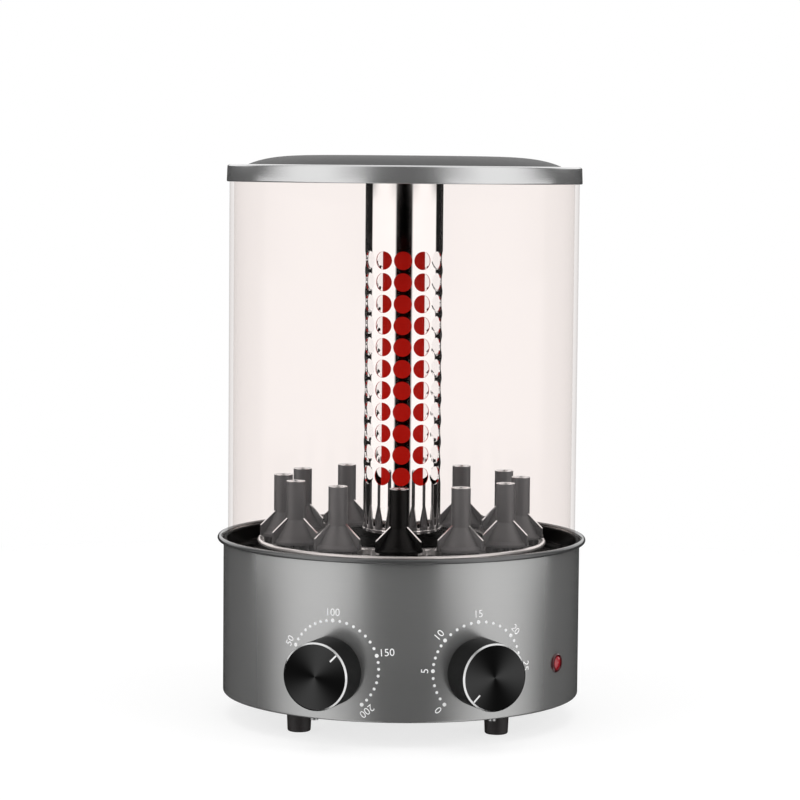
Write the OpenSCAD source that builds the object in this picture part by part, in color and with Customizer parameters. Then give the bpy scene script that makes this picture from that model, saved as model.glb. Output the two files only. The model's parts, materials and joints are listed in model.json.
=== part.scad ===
// Electric skewer grill: a glass-walled grill with a perforated heater column and a turntable of
// twelve skewer cups. Each cup's gear rolls round a fixed sun gear, so the cups spin as they go round.
// Origin on the centre axis where the feet rest, +Z up, the knobs face -Y. Millimetres and degrees.

/* [Housing] */
// Outer diameter of the base housing
housing_d = 236; // [226:1:250]
// Thickness of the housing's steel sheet
housing_wall = 0.8; // [0.6:0.1:1.1]
// Height from the housing's bottom edge to the centre of its rolled rim
housing_h = 102.5; // [96:0.5:120]
// Thickness of the rolled rim
bead_d = 3.6; // [3:0.1:4.2]
// Step from the housing's face out to the rolled rim
bead_step = 0.4; // [0.2:0.1:0.8]
// Width of the edge turned in at the bottom
edge_w = 9; // [7.5:0.5:12]
// Thickness of the bottom plate
bottom_t = 1.2; // [0.8:0.1:2]
// Length of a vent slot in the bottom plate
vent_l = 20; // [10:1:24]
// Width of a vent slot
vent_w = 3; // [2:0.5:4]

/* [Feet] */
// Height of a rubber foot
foot_h = 16; // [14:0.5:24]
// Diameter of a foot at its top
foot_top_d = 16.4; // [14:0.1:20]
// Diameter of a foot where it rests
foot_low_d = 15; // [12.5:0.1:16]
// Radius of the foot's lower edge
foot_round = 1.5; // [0.5:0.1:2.5]
// Distance from the housing's face in to a foot's axis
foot_inset = 28; // [24:0.5:32]

/* [Frame] */
// Diameter of the posts between the bottom plate and the deck
post_d = 10; // [8:0.5:12]
// Thickness of the deck plate
deck_t = 1.2; // [1:0.1:2]
// Depth from the rolled rim's centre down to the drip pan's floor
pan_depth = 13.3; // [12:0.1:18]
// Thickness of the drip pan
pan_wall = 1; // [0.6:0.1:1.4]
// Height of the step in the drip pan that carries the glass
pan_step = 3.3; // [2:0.1:5]
// Height of the drip pan's collar round the hub
pan_collar_h = 6; // [3:0.1:6.5]
// Shank diameter of the screws
screw_d = 4; // [3:0.1:4.5]
// Head diameter of the screws
screw_head_d = 7; // [6:0.1:8]
// Head height of the screws
screw_head_h = 2.2; // [1.5:0.1:2.6]

/* [Turntable] */
// Depth from the housing's rim centre down to the turntable's floor
table_drop = 3.9; // [3.2:0.1:4.4]
// Thickness of the turntable's sheet
table_wall = 0.8; // [0.6:0.1:1.1]
// Thickness of the turntable's rolled rim
table_bead_d = 3.4; // [3:0.1:3.6]
// Wall of the hub that turns on the column
hub_wall = 2.8; // [2:0.1:4]
// Width of the hub's flange under the turntable
hub_flange_w = 11.5; // [10:0.5:14]
// Thickness of the hub's flange
hub_flange_t = 2; // [1.5:0.1:2.2]
// Diameter of a cup's pin
pin_d = 6; // [4:0.1:7]
// Height of a cup's pin above the turntable's floor
pin_h = 13.4; // [10:0.1:14]

/* [Cups] */
// Distance from the glass's inner face in to the ring on which the cups stand
cup_inset = 33.3; // [30:0.1:38]
// Height of a cup's top above the turntable's floor
cup_h = 45.1; // [40:0.1:60]
// Outer diameter of a cup's tube
cup_tube_d = 12.4; // [11:0.1:14]
// Gap between the skirts of two neighbouring cups
cup_gap = 9.9; // [7:0.1:12]
// Distance from the skirt's edge in to the cone that flares out into it
cup_flare = 3.2; // [2:0.1:4.5]
// Diameter of the socket that takes a skewer
socket_d = 6.4; // [4:0.1:8]
// Depth of the socket
socket_depth = 28; // [20:0.5:28]
// Distance from the skirt's edge out to a fin's outer end
fin_out = 1.2; // [0.4:0.1:1.8]
// Thickness of a fin
fin_t = 1.6; // [0.8:0.1:2]
// Height of a fin's top end above the turntable's floor
fin_top = 20.9; // [19:0.1:24]
// Height of a fin's outer end above the turntable's floor
fin_low = 12; // [10:0.1:14]
// Height of the cup's gear and of the gap below its skirt
cup_gear_w = 4; // [3.6:0.1:5]

/* [Drive] */
// Thickness of the sun gear
sun_t = 3.4; // [2:0.1:3.4]
// Module of the teeth under the deck
drive_module = 1.4; // [1.2:0.05:1.45]
// Width of the drive gear's teeth
drive_w = 5; // [3:0.1:6]
// Height of the drive gear's boss
drive_boss_h = 7.5; // [7:0.1:10]
// Thickness of the washer under the drive gear
washer_t = 1; // [0.6:0.1:2]
// Diameter of the motor
motor_d = 50; // [40:1:56]
// Height of the motor
motor_h = 20; // [14:0.5:28]
// Distance of the motor's centre from its output shaft
motor_offset = 8; // [0:0.5:10]
// Diameter of the motor's output shaft
motor_shaft_d = 6; // [4:0.1:7]

/* [Column] */
// Outer diameter of the chrome column
column_d = 51.2; // [46:0.2:54]
// Thickness of the column's tube
column_wall = 0.8; // [0.6:0.1:1.5]
// Height of the column above the turntable's floor
column_h = 242.4; // [220:0.2:243]
// Diameter of a hole in the column
hole_d = 12; // [8:0.1:12.6]
// Height of the lowest row of holes above the turntable's floor
hole_low = 46.7; // [40:0.1:60]
// Height between rows of holes
hole_pitch = 14.14; // [12.8:0.02:16]
// Height of the black ring round the column's foot
collar_h = 2.9; // [2:0.1:4]
// Thickness of the black ring's wide step
collar_step_h = 1.1; // [0.6:0.1:1.6]
// Share of the way from the column to the cups' axes that the black ring covers
collar_share = 0.565; // [0.5:0.005:0.6]
// Width of the black ring's narrow step
collar_w = 3.6; // [2:0.1:5]
// Height of the bright ferrule above the black ring
ferrule_h = 4.2; // [3:0.1:8]
// Thickness of the ferrule
ferrule_t = 0.35; // [0.3:0.05:1]
// Thickness of the column's flange under the deck
flange_t = 5; // [3.5:0.1:8]
// Width of the column's flange
flange_w = 12; // [11:0.5:15]

/* [Heater] */
// Outer diameter of the heater's quartz tube
heater_d = 27.8; // [20:0.2:32]
// Wall of the quartz tube
heater_wall = 1.5; // [1:0.1:3]
// Gap between the quartz tube and the rod inside it
heater_gap = 3.4; // [2:0.1:4]
// Height of the quartz tube's lower end above the turntable's floor
heater_low = 13.4; // [11:0.1:30]
// Gap between the column's cap and the upper ceramic holder
heater_end = 1.8; // [0.8:0.2:30]
// Thickness of the ceramic holders
holder_t = 7; // [4:0.1:8]

/* [Glass] */
// Distance from the housing's face in to the glass's face
glass_inset = 3; // [2.8:0.1:6]
// Wall of the glass
glass_wall = 3; // [2:0.1:4]
// Length of the glass
glass_l = 253.2; // [250:0.1:300]

/* [Lid] */
// Height of the lid's band
lid_band_h = 9.5; // [8:0.1:16]
// Gap between the glass's face and the inside of the band at its lower edge
lid_band_gap = 0.7; // [0.6:0.1:2.5]
// Taper of the band toward its top
lid_band_taper = 0.4; // [0.2:0.1:0.4]
// Thickness of the lid's sheet
lid_wall = 1.2; // [0.8:0.1:1.6]
// Width of the lid's flat ring from its edge in to the dome
lid_ring_w = 13.5; // [10:0.1:20]
// Width of the band's flange that lies on the lid's flat ring
lid_flange_w = 4.9; // [4:0.1:8]
// Rise of the flat-topped dome from its edge to its centre
dome_rise = 6.5; // [3:0.1:10]
// Thickness of the gasket between the lid and the glass
gasket_t = 1; // [0.6:0.1:2]

/* [Knobs] */
// Diameter of a knob
knob_d = 43; // [36:0.5:50]
// Distance from the housing's face to a knob's face
knob_face = 27; // [22:0.5:34]
// Gap between the housing's face and a knob's back
knob_back = 3; // [2.6:0.1:5]
// Thickness of a knob's face disc
cap_t = 1.2; // [0.8:0.1:1.8]
// Width of the bright chamfer round a knob's face
cap_chamfer = 1; // [0.4:0.1:1.4]
// Length of a knob's pointer
pointer_l = 5.8; // [3:0.1:10]
// Width of a knob's pointer
pointer_w = 1; // [0.6:0.1:2]
// Wall of a knob's skirt
knob_wall = 2.2; // [1.6:0.1:3]
// Height of a knob's axis above the housing's bottom edge
knob_rise = 32; // [30:0.5:44]
// Angle of each knob from the housing's mid-plane
knob_angle = 22.7; // [20:0.1:28]
// Diameter of a knob's spindle
spindle_d = 6; // [4:0.1:6.4]
// Turn of the temperature pointer at rest, clockwise from the top
thermostat_rest = 45; // [-130:1:140]
// Turn of the timer pointer at rest, clockwise from the top
timer_rest = -135; // [-135:1:135]

/* [Lamp and cord hole] */
// Diameter of the lamp's lens
lamp_d = 12; // [9:0.1:14]
// Height of the lens's dome in front of its rim
lamp_dome_h = 1.8; // [1:0.1:3]
// Height of the lamp's axis above the housing's bottom edge
lamp_rise = 29.7; // [20:0.1:50]
// Angle of the lamp from the housing's mid-plane
lamp_angle = 57; // [50:1:66]
// Diameter of the cord's hole in its gland
cord_d = 7.6; // [5:0.1:9]
// Height of the gland's axis above the housing's bottom edge
gland_rise = 24; // [14:0.5:40]

/* [Fits] */
// Gap on each side of a shaft that turns in its bearing
bearing_gap = 0.06; // [0.03:0.01:0.1]
// Gap between pieces that move past each other
run_gap = 0.3; // [0.2:0.05:0.4]
// Gap on each side of a piece that is fixed in its hole
fit_gap = 0.1; // [0.05:0.01:0.15]
// Amount by which each gear's teeth are thinned
tooth_gap = 0.3; // [0.2:0.05:0.4]

/* [Hidden] */
$fn = 96;
front = -90;
back = 90;

// overrun of every cut past the face that it opens
cut = 1;

// turn of the turntable, the sun gear and the column's holes from the knobs' mid-plane
rest_turn = -2.5;

// counts of what repeats
cup_count = 12;
foot_count = 4;
vent_count = 24;
edge_screw_count = 6;
flange_screw_count = 4;
rivet_count = 6;
key_count = 3;
fin_count = 3;
hole_columns = 12;
hole_rows = 11;
sun_teeth = 72;
cup_teeth = 12;
drive_teeth = 72;
pinion_teeth = 12;
flank_steps = 3;
dome_steps = 14;
round_steps = 6;

// shares of a gear's module, and its pressure angle
addendum_share = 0.8;
dedendum_share = 1.05;
pressure_angle = 25;

// radii and heights of the housing
housing_r = housing_d / 2;
housing_in_r = housing_r - housing_wall;
edge_top = foot_h + housing_wall;
bottom_top = edge_top + bottom_t;
bead_r = bead_d / 2;
bead_axis_r = housing_r + bead_step + bead_r;
rim_z = foot_h + housing_h;
flare_z = rim_z - bead_r - bead_step;
foot_ring_r = housing_r - foot_inset;
vent_ring_r = foot_ring_r / 2;
edge_screw_r = housing_in_r - edge_w / 2;
small_screw_d = screw_d * 0.75;
small_head_d = screw_head_d * 0.75;
small_head_h = screw_head_h * 0.75;
screw_bite = 3 * screw_d;
post_angles = [for (i = [0 : foot_count - 1]) 45 + rest_turn + i * 360 / foot_count];

// heights of the floors, from the rim down
table_z = rim_z - table_drop;
pan_z = rim_z - pan_depth;
pan_under_z = pan_z - pan_wall;
drive_z = pan_under_z - fit_gap - drive_boss_h - run_gap * 2;
deck_top_z = drive_z - run_gap - washer_t;
deck_z = deck_top_z - deck_t;
shelf_z = pan_z + pan_step;
glass_z = shelf_z + run_gap;
glass_top_z = glass_z + glass_l;

// radii of the glass and the drip pan
glass_r = housing_r - glass_inset;
glass_in_r = glass_r - glass_wall;
pan_wall_in_r = glass_r + run_gap * 2;
pan_wall_r = pan_wall_in_r + pan_wall;
pan_lip_r = min(housing_in_r + run_gap, pan_wall_r + pan_wall);
pan_floor_r = glass_in_r - pan_wall;
deck_r = pan_floor_r - pan_wall;

// radii of the column and what turns round it
column_r = column_d / 2;
column_in_r = column_r - column_wall;
hub_bore_r = column_r + bearing_gap;
hub_r = hub_bore_r + hub_wall;
hub_flange_r = hub_r + hub_flange_w;
key_depth = hub_wall / 2;
key_w = hub_wall * 1.5;
pan_collar_in_r = hub_r + key_depth + run_gap * 2;
pan_collar_r = pan_collar_in_r + pan_wall;
hub_top_z = table_z;
hub_flange_z = table_z - table_wall - hub_flange_t;
hub_seat_z = drive_z + run_gap * 4;
boss_r = hub_r + key_depth + hub_wall;

// the cups and their gears
cup_ring_r = glass_in_r - cup_inset;
cup_module = 2 * cup_ring_r / (sun_teeth + cup_teeth);
cup_skirt_r = cup_ring_r * sin(180 / cup_count) - cup_gap / 2;
cup_cone_r = cup_skirt_r - cup_flare;
fin_reach = cup_skirt_r + fin_out;
cup_z = table_z + run_gap;
cup_skirt_z = cup_z + cup_gear_w;
cup_top_z = table_z + cup_h;
cup_tube_r = cup_tube_d / 2;
cup_bore_r = pin_d / 2 + bearing_gap;
cup_gear_tip_r = cup_module * (cup_teeth / 2 + addendum_share);
pin_head_r = pin_d * 0.75;
pin_head_t = table_wall * 1.5;
sun_z = table_z + run_gap * 4 / 3;
sun_top_z = sun_z + sun_t;

// the turntable's rim stands just outside the cups' gears
table_bead_r = table_bead_d / 2;
table_floor_r = cup_ring_r + cup_gear_tip_r + run_gap;
table_bead_axis_r = table_floor_r + run_gap * 2 + table_bead_r;
table_bead_z = table_z + table_bead_r + run_gap;

// the drive under the deck
drive_distance = drive_module * (drive_teeth + pinion_teeth) / 2;
motor_y = drive_distance + motor_offset;
motor_boss_r = motor_shaft_d / 2 + pan_wall * 1.5;

// heights on the column
collar_top_z = sun_top_z + collar_h;
ferrule_top_z = collar_top_z + ferrule_h;
column_top_z = table_z + column_h;
column_low_z = deck_z - flange_t * 0.6;
flange_z = deck_z - flange_t;
flange_r = column_r + flange_w;
flange_screw_r = column_r + flange_w * 0.6;
collar_r = column_r + (cup_ring_r - column_r) * collar_share;

// the heater inside the column
heater_z = table_z + heater_low;
heater_top_z = column_top_z - column_wall * 4 - heater_end - holder_t;
heater_l = heater_top_z - heater_z;
heater_r = heater_d / 2;
heater_in_r = heater_r - heater_wall;
core_r = heater_in_r - heater_gap;
holder_r = column_in_r - fit_gap;
spigot_h = holder_t * 0.8;

// the lid
lid_z = glass_top_z + run_gap;
lid_under_z = lid_z + gasket_t;
lid_top_z = lid_under_z + lid_wall;
lid_low_r = glass_r + lid_band_gap + lid_wall;
lid_high_r = lid_low_r - lid_band_taper;
lid_band_top_z = lid_top_z - lid_wall * 1.5;
lid_band_low_z = lid_band_top_z - lid_band_h;
lid_ring_r = lid_high_r - lid_flange_w;
dome_r = lid_high_r - lid_ring_w;
dome_power = 7;

// knobs, lamp and gland
thermostat_a = front - knob_angle;
timer_a = front + knob_angle;
lamp_a = front + lamp_angle;
knob_z = foot_h + knob_rise;
lamp_z = foot_h + lamp_rise;
gland_z = foot_h + gland_rise;
knob_r = knob_d / 2;
spindle_r = spindle_d / 2;
spindle_bore_r = spindle_r + bearing_gap;
bush_r = spindle_d * 0.8;
bush_out = knob_back * 0.9;
bush_hole_r = bush_r + fit_gap * 2;
nut_r = spindle_d * 1.25;
nut_t = knob_back * 0.75;
cap_z = knob_face - cap_t;
knob_cavity_z = cap_z - knob_wall;
spindle_out = knob_cavity_z - knob_wall;
spindle_in = spindle_d * 2;
switch_z = -spindle_d;
switch_w = spindle_d * 5.6;
switch_t = spindle_d * 3.6;
pointer_out_r = knob_r - cap_chamfer - pointer_w * 0.2;
slot_depth = cap_t / 2;
lamp_r = lamp_d / 2;
lamp_neck_r = lamp_r * 0.76;
lamp_neck_l = lamp_d * 0.8;
lamp_rim_t = lamp_d / 12;
gland_bore_r = cord_d / 2;
gland_neck_r = gland_bore_r * 1.75;
gland_rim_r = gland_bore_r * 2.4;
gland_rim_t = cord_d * 0.4;
gland_in = cord_d * 1.3;

// a plain ring
module ring(r_out, r_in, z, h) {
  translate([0, 0, z])
    difference() {
      cylinder(r = r_out, h = h);
      translate([0, 0, -cut]) cylinder(r = r_in, h = h + 2 * cut);
    }
}

// a flat section in the plane of a lathe's profile
module band(r_in, r_out, z, h) {
  translate([r_in, z]) square([r_out - r_in, h]);
}

// children stand on the housing's face, their +Z pointing out and their -X pointing up
module on_housing(angle, z) {
  rotate([0, 0, angle]) translate([housing_r, 0, z]) rotate([0, 90, 0]) children();
}

// children at equal steps round the axis
module around(count, r, start = 0) {
  for (i = [0 : count - 1])
    rotate([0, 0, start + i * 360 / count]) translate([r, 0, 0]) children();
}

// a screw whose head rests on its origin and whose shank points down
module screw(shank_r, shank_l, head_r, head_h) {
  difference() {
    cylinder(r = head_r, h = head_h);
    translate([0, 0, head_h / 2]) cylinder(r = head_r / 2, h = head_h, $fn = 6);
  }
  translate([0, 0, -shank_l]) cylinder(r = shank_r, h = shank_l + head_h / 4);
}

// involute gear teeth: turn of the involute at an angle of pressure, in degrees
function involute(angle) = tan(angle) * 180 / PI - angle;
function pitch_r(teeth, mod) = teeth * mod / 2;
function base_r(teeth, mod) = pitch_r(teeth, mod) * cos(pressure_angle);
function root_r(teeth, mod) = pitch_r(teeth, mod) - dedendum_share * mod;
function tip_r(teeth, mod) = pitch_r(teeth, mod) + addendum_share * mod;
function half_tooth(teeth, mod, r) =
  90 / teeth - tooth_gap / pitch_r(teeth, mod) * 90 / PI
  + involute(pressure_angle) - involute(acos(min(1, base_r(teeth, mod) / r)));
function flank_r(teeth, mod, i) =
  let (low = max(base_r(teeth, mod), root_r(teeth, mod)))
  low + (tip_r(teeth, mod) - low) * i / flank_steps;
function polar(r, angle) = [r * cos(angle), r * sin(angle)];
function half_flank(teeth, mod) = concat(
  root_r(teeth, mod) < base_r(teeth, mod)
    ? [[root_r(teeth, mod), half_tooth(teeth, mod, base_r(teeth, mod))]] : [],
  [for (i = [0 : flank_steps])
    let (r = flank_r(teeth, mod, i)) [r, half_tooth(teeth, mod, r)]]);
function tooth(teeth, mod, at) =
  let (side = half_flank(teeth, mod), last = len(side) - 1) concat(
    [for (p = side) polar(p[0], at - p[1])],
    [for (i = [last : -1 : 0]) polar(side[i][0], at + side[i][1])]);

module gear_outline(teeth, mod) {
  polygon([for (k = [0 : teeth - 1]) each tooth(teeth, mod, k * 360 / teeth)]);
}

// a curl of sheet whose inner side meets the end of a wall
module curl(axis_r, z, r, wall) {
  translate([axis_r, z])
    difference() {
      circle(r = r);
      circle(r = r - wall);
    }
}

module housing_shell() {
  color("dimgray")
    difference() {
      rotate_extrude() {
        band(housing_in_r - edge_w, housing_r, foot_h, housing_wall);
        band(housing_in_r, housing_r, foot_h, flare_z - foot_h);
        polygon([
          [housing_in_r, flare_z], [housing_r, flare_z],
          [bead_axis_r - bead_r + housing_wall, rim_z], [bead_axis_r - bead_r, rim_z]
        ]);
        curl(bead_axis_r, rim_z, bead_r, housing_wall);
      }
      for (a = [thermostat_a, timer_a]) wall_hole(a, knob_z, bush_hole_r);
      wall_hole(lamp_a, lamp_z, lamp_neck_r + fit_gap);
      wall_hole(back, gland_z, gland_neck_r);
      around(edge_screw_count, edge_screw_r)
        translate([0, 0, foot_h - cut]) cylinder(r = small_screw_d / 2 + fit_gap, h = edge_w);
    }
}

module wall_hole(angle, z, r) {
  on_housing(angle, z) translate([0, 0, -edge_w]) cylinder(r = r, h = edge_w + bead_d);
}

module bottom_plate() {
  color("silver")
    difference() {
      translate([0, 0, edge_top]) cylinder(r = housing_in_r - run_gap, h = bottom_t);
      translate([0, 0, edge_top - cut]) {
        for (a = post_angles)
          rotate([0, 0, a]) translate([foot_ring_r, 0, 0])
            cylinder(r = screw_d / 2 + fit_gap, h = bottom_t + 2 * cut);
        around(edge_screw_count, edge_screw_r)
          cylinder(r = small_screw_d / 2 + fit_gap, h = bottom_t + 2 * cut);
        around(vent_count, vent_ring_r) vent();
      }
    }
}

// one vent slot, along the radius, with round ends
module vent() {
  for (x = [-0.5, 0.5])
    translate([x * (vent_l - vent_w), 0, 0]) cylinder(r = vent_w / 2, h = bottom_t + 2 * cut);
  translate([-(vent_l - vent_w) / 2, -vent_w / 2, 0])
    cube([vent_l - vent_w, vent_w, bottom_t + 2 * cut]);
}

module deck_plate() {
  color("silver")
    difference() {
      rotate_extrude() {
        band(column_r + fit_gap, deck_r, deck_z, deck_t);
        band(deck_r - deck_t, deck_r, deck_z, pan_under_z - deck_z);
      }
      translate([0, 0, deck_z - cut]) {
        for (a = post_angles)
          rotate([0, 0, a]) translate([foot_ring_r, 0, 0])
            cylinder(r = screw_d / 2 + fit_gap, h = deck_t + 2 * cut);
        around(flange_screw_count, flange_screw_r)
          cylinder(r = small_screw_d / 2 + fit_gap, h = deck_t + 2 * cut);
        translate([0, drive_distance, 0])
          cylinder(r = motor_boss_r + run_gap, h = deck_t + 2 * cut);
      }
    }
}

module deck_posts() {
  color("silver")
    for (a = post_angles)
      rotate([0, 0, a]) translate([foot_ring_r, 0, bottom_top])
        difference() {
          cylinder(r = post_d / 2, h = deck_z - bottom_top);
          translate([0, 0, -cut]) cylinder(r = screw_d / 2 + fit_gap, h = screw_bite + cut);
          translate([0, 0, deck_z - bottom_top - screw_bite])
            cylinder(r = screw_d / 2 + fit_gap, h = screw_bite + cut);
        }
}

module case_screws() {
  color("silver") {
    for (a = post_angles)
      rotate([0, 0, a]) translate([foot_ring_r, 0, deck_top_z])
        screw(screw_d / 2, screw_bite - screw_d, screw_head_d / 2, screw_head_h);
    around(edge_screw_count, edge_screw_r)
      translate([0, 0, foot_h]) mirror([0, 0, 1])
        screw(small_screw_d / 2, screw_d, small_head_d / 2, small_head_h);
    around(flange_screw_count, flange_screw_r)
      translate([0, 0, flange_z]) mirror([0, 0, 1])
        screw(small_screw_d / 2, flange_t + deck_t, small_head_d / 2, small_head_h);
  }
}

module feet() {
  top_r = foot_top_d / 2;
  low_r = foot_low_d / 2;
  color("black")
    for (a = post_angles)
      rotate([0, 0, a]) translate([foot_ring_r, 0, 0])
        rotate_extrude()
          polygon(concat(
            [for (i = [0 : round_steps])
              let (t = -90 + i * 90 / round_steps)
              [low_r - foot_round + foot_round * cos(t), foot_round + foot_round * sin(t)]],
            [[top_r, edge_top], [screw_d / 2 + fit_gap, edge_top],
             [screw_d / 2 + fit_gap, edge_top / 2], [screw_head_d / 2 + fit_gap, edge_top / 2],
             [screw_head_d / 2 + fit_gap, 0]]));
}

module foot_screws() {
  color("silver")
    for (a = post_angles)
      rotate([0, 0, a]) translate([foot_ring_r, 0, edge_top / 2]) mirror([0, 0, 1])
        screw(screw_d / 2, edge_top / 2 + bottom_t + screw_bite - screw_d,
          screw_head_d / 2, screw_head_h);
}

module drip_pan() {
  color([0.06, 0.06, 0.06])
    rotate_extrude() {
      band(pan_collar_in_r, pan_collar_r, pan_under_z, pan_wall + pan_collar_h);
      band(pan_collar_in_r, pan_floor_r, pan_under_z, pan_wall);
      band(pan_floor_r - pan_wall, pan_floor_r, pan_under_z, pan_wall + pan_step);
      band(pan_floor_r - pan_wall, pan_wall_r, shelf_z - pan_wall, pan_wall);
      band(pan_wall_in_r, pan_wall_r, shelf_z - pan_wall, rim_z - shelf_z + pan_wall);
      band(pan_wall_in_r, pan_lip_r, rim_z - pan_wall, pan_wall);
    }
}

module column_flange() {
  color("silver")
    difference() {
      ring(flange_r, column_in_r - column_wall * 2, flange_z, flange_t);
      translate([0, 0, column_low_z]) cylinder(r = column_r + fit_gap, h = flange_t);
      around(flange_screw_count, flange_screw_r)
        translate([0, 0, flange_z - cut])
          cylinder(r = small_screw_d / 2 + fit_gap, h = flange_t + 2 * cut);
    }
}

module column_sleeve() {
  hole_r = hole_d / 2;
  hole_start = sqrt(column_in_r * column_in_r - hole_r * hole_r) - column_wall / 2;
  color("gainsboro")
    difference() {
      ring(column_r, column_in_r, column_low_z, column_top_z - column_low_z);
      for (row = [0 : hole_rows - 1])
        translate([0, 0, table_z + hole_low + row * hole_pitch])
          around(hole_columns, hole_start, front + rest_turn)
            rotate([0, 90, 0]) cylinder(r = hole_r, h = column_r - hole_start + cut, $fn = 32);
    }
}

module column_ferrule() {
  color("gainsboro")
    ring(column_r + fit_gap / 2 + ferrule_t, column_r + fit_gap / 2, collar_top_z, ferrule_h);
}

module column_base_ring() {
  color([0.04, 0.04, 0.04])
    rotate_extrude() {
      band(column_r + fit_gap / 2, collar_r, sun_top_z, collar_step_h);
      band(column_r + fit_gap / 2, column_r + collar_w, sun_top_z, collar_h);
      polygon([
        [column_r + collar_w, sun_top_z + collar_step_h],
        [collar_r - collar_w, sun_top_z + collar_step_h],
        [column_r + collar_w, sun_top_z + (collar_step_h + collar_h) / 2]
      ]);
    }
}

module column_cap() {
  color("silver")
    union() {
      translate([0, 0, column_top_z]) cylinder(r = column_r, h = column_wall * 2);
      ring(holder_r, holder_r - column_wall * 2, column_top_z - column_wall * 4, column_wall * 5);
    }
}

module sun_gear() {
  color("silver")
    difference() {
      translate([0, 0, sun_z]) rotate([0, 0, rest_turn])
        linear_extrude(sun_t) gear_outline(sun_teeth, cup_module);
      translate([0, 0, sun_z - cut]) cylinder(r = column_r + fit_gap / 2, h = sun_t + 2 * cut);
    }
}

module thrust_washer() {
  color("ivory") ring(boss_r, column_r + fit_gap, deck_top_z, washer_t);
}

module heater_tube() {
  color("firebrick") ring(heater_r, heater_in_r, heater_z, heater_l);
}

module heater_core() {
  color("red")
    translate([0, 0, heater_z + spigot_h]) cylinder(r = core_r, h = heater_l - 2 * spigot_h);
}

// a ceramic disc with a spigot that holds one end of the quartz tube
module heater_holder() {
  difference() {
    union() {
      cylinder(r = holder_r, h = holder_t);
      cylinder(r = heater_in_r - fit_gap, h = holder_t + spigot_h);
    }
    translate([0, 0, -cut]) cylinder(r = core_r / 4, h = holder_t + spigot_h + 2 * cut);
  }
}

module heater_end_lower() {
  color("white") translate([0, 0, heater_z - holder_t]) heater_holder();
}

module heater_end_upper() {
  color("white") translate([0, 0, heater_top_z + holder_t]) mirror([0, 0, 1]) heater_holder();
}

// the threaded bush and bore that a panel switch turns its spindle in
module bushed(z) {
  difference() {
    union() {
      children();
      translate([0, 0, z - cut]) cylinder(r = bush_r, h = bush_out - z + cut);
    }
    translate([0, 0, -spindle_in - run_gap])
      cylinder(r = spindle_bore_r, h = spindle_in + knob_face);
  }
}

module thermostat_body() {
  color("tan")
    on_housing(thermostat_a, knob_z)
      bushed(switch_z)
        translate([-switch_w / 2, -switch_w * 0.4, switch_z - switch_t])
          cube([switch_w, switch_w * 0.8, switch_t]);
}

module timer_body() {
  color("silver")
    on_housing(timer_a, knob_z)
      bushed(switch_z) {
        translate([0, 0, switch_z - switch_t]) cylinder(r = switch_w * 0.6, h = switch_t);
        translate([-switch_w * 0.65, -switch_w / 3, switch_z - housing_wall * 2])
          cube([switch_w * 1.3, switch_w * 2 / 3, housing_wall * 2]);
      }
}

module timer_bell() {
  bell_r = switch_w * 0.52;
  bell_h = switch_t / 3;
  color("silver")
    on_housing(timer_a, knob_z) translate([0, 0, switch_z - switch_t])
      rotate([180, 0, 0])
        difference() {
          cylinder(r1 = bell_r, r2 = bell_r * 0.8, h = bell_h);
          translate([0, 0, -cut])
            cylinder(r = bell_r * 0.8 - housing_wall, h = bell_h - housing_wall + cut);
        }
}

module panel_nuts() {
  color("silver")
    for (a = [thermostat_a, timer_a])
      on_housing(a, knob_z)
        difference() {
          cylinder(r = nut_r, h = nut_t, $fn = 6);
          translate([0, 0, -cut]) cylinder(r = bush_r + fit_gap / 2, h = nut_t + 2 * cut);
        }
}

module lamp_lens() {
  color("red")
    on_housing(lamp_a, lamp_z)
      rotate_extrude()
        polygon(concat(
          [[0, -lamp_neck_l], [lamp_neck_r, -lamp_neck_l], [lamp_neck_r, 0], [lamp_r, 0]],
          [for (i = [0 : round_steps])
            let (t = i * 90 / round_steps)
            [lamp_r * 0.92 * cos(t), lamp_rim_t + lamp_dome_h * sin(t)]]));
}

module lamp_holder() {
  color("ivory")
    on_housing(lamp_a, lamp_z) {
      difference() {
        translate([0, 0, -lamp_neck_l * 0.6]) cylinder(r = lamp_r, h = lamp_neck_l * 0.3);
        translate([0, 0, -lamp_neck_l]) cylinder(r = lamp_neck_r + fit_gap / 2, h = lamp_neck_l);
      }
      translate([0, 0, -lamp_neck_l * 2.4]) cylinder(r = lamp_neck_r, h = lamp_neck_l * 1.4);
    }
}

module motor_case() {
  ear_r = motor_d / 2 + screw_head_d / 2;
  color("silver")
    difference() {
      union() {
        translate([0, motor_y, deck_z - motor_h]) cylinder(r = motor_d / 2, h = motor_h);
        translate([0, drive_distance, deck_z - cut])
          cylinder(r = motor_boss_r, h = deck_t + cut + run_gap);
        for (x = [-ear_r, ear_r])
          translate([x, motor_y, deck_z - housing_wall])
            cylinder(r = screw_head_d / 2, h = housing_wall);
        translate([-ear_r, motor_y - screw_head_d / 2, deck_z - housing_wall])
          cube([2 * ear_r, screw_head_d, housing_wall]);
      }
      translate([0, drive_distance, deck_z - motor_h / 2 - run_gap])
        cylinder(r = motor_shaft_d / 2 + bearing_gap, h = motor_h);
    }
}

module motor_pinion() {
  color("white")
    translate([0, drive_distance, 0]) {
      translate([0, 0, deck_z - motor_h / 2])
        cylinder(r = motor_shaft_d / 2, h = drive_z + drive_w - deck_z + motor_h / 2);
      translate([0, 0, drive_z]) rotate([0, 0, 90 / pinion_teeth * 2])
        linear_extrude(drive_w) gear_outline(pinion_teeth, drive_module);
    }
}

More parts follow.
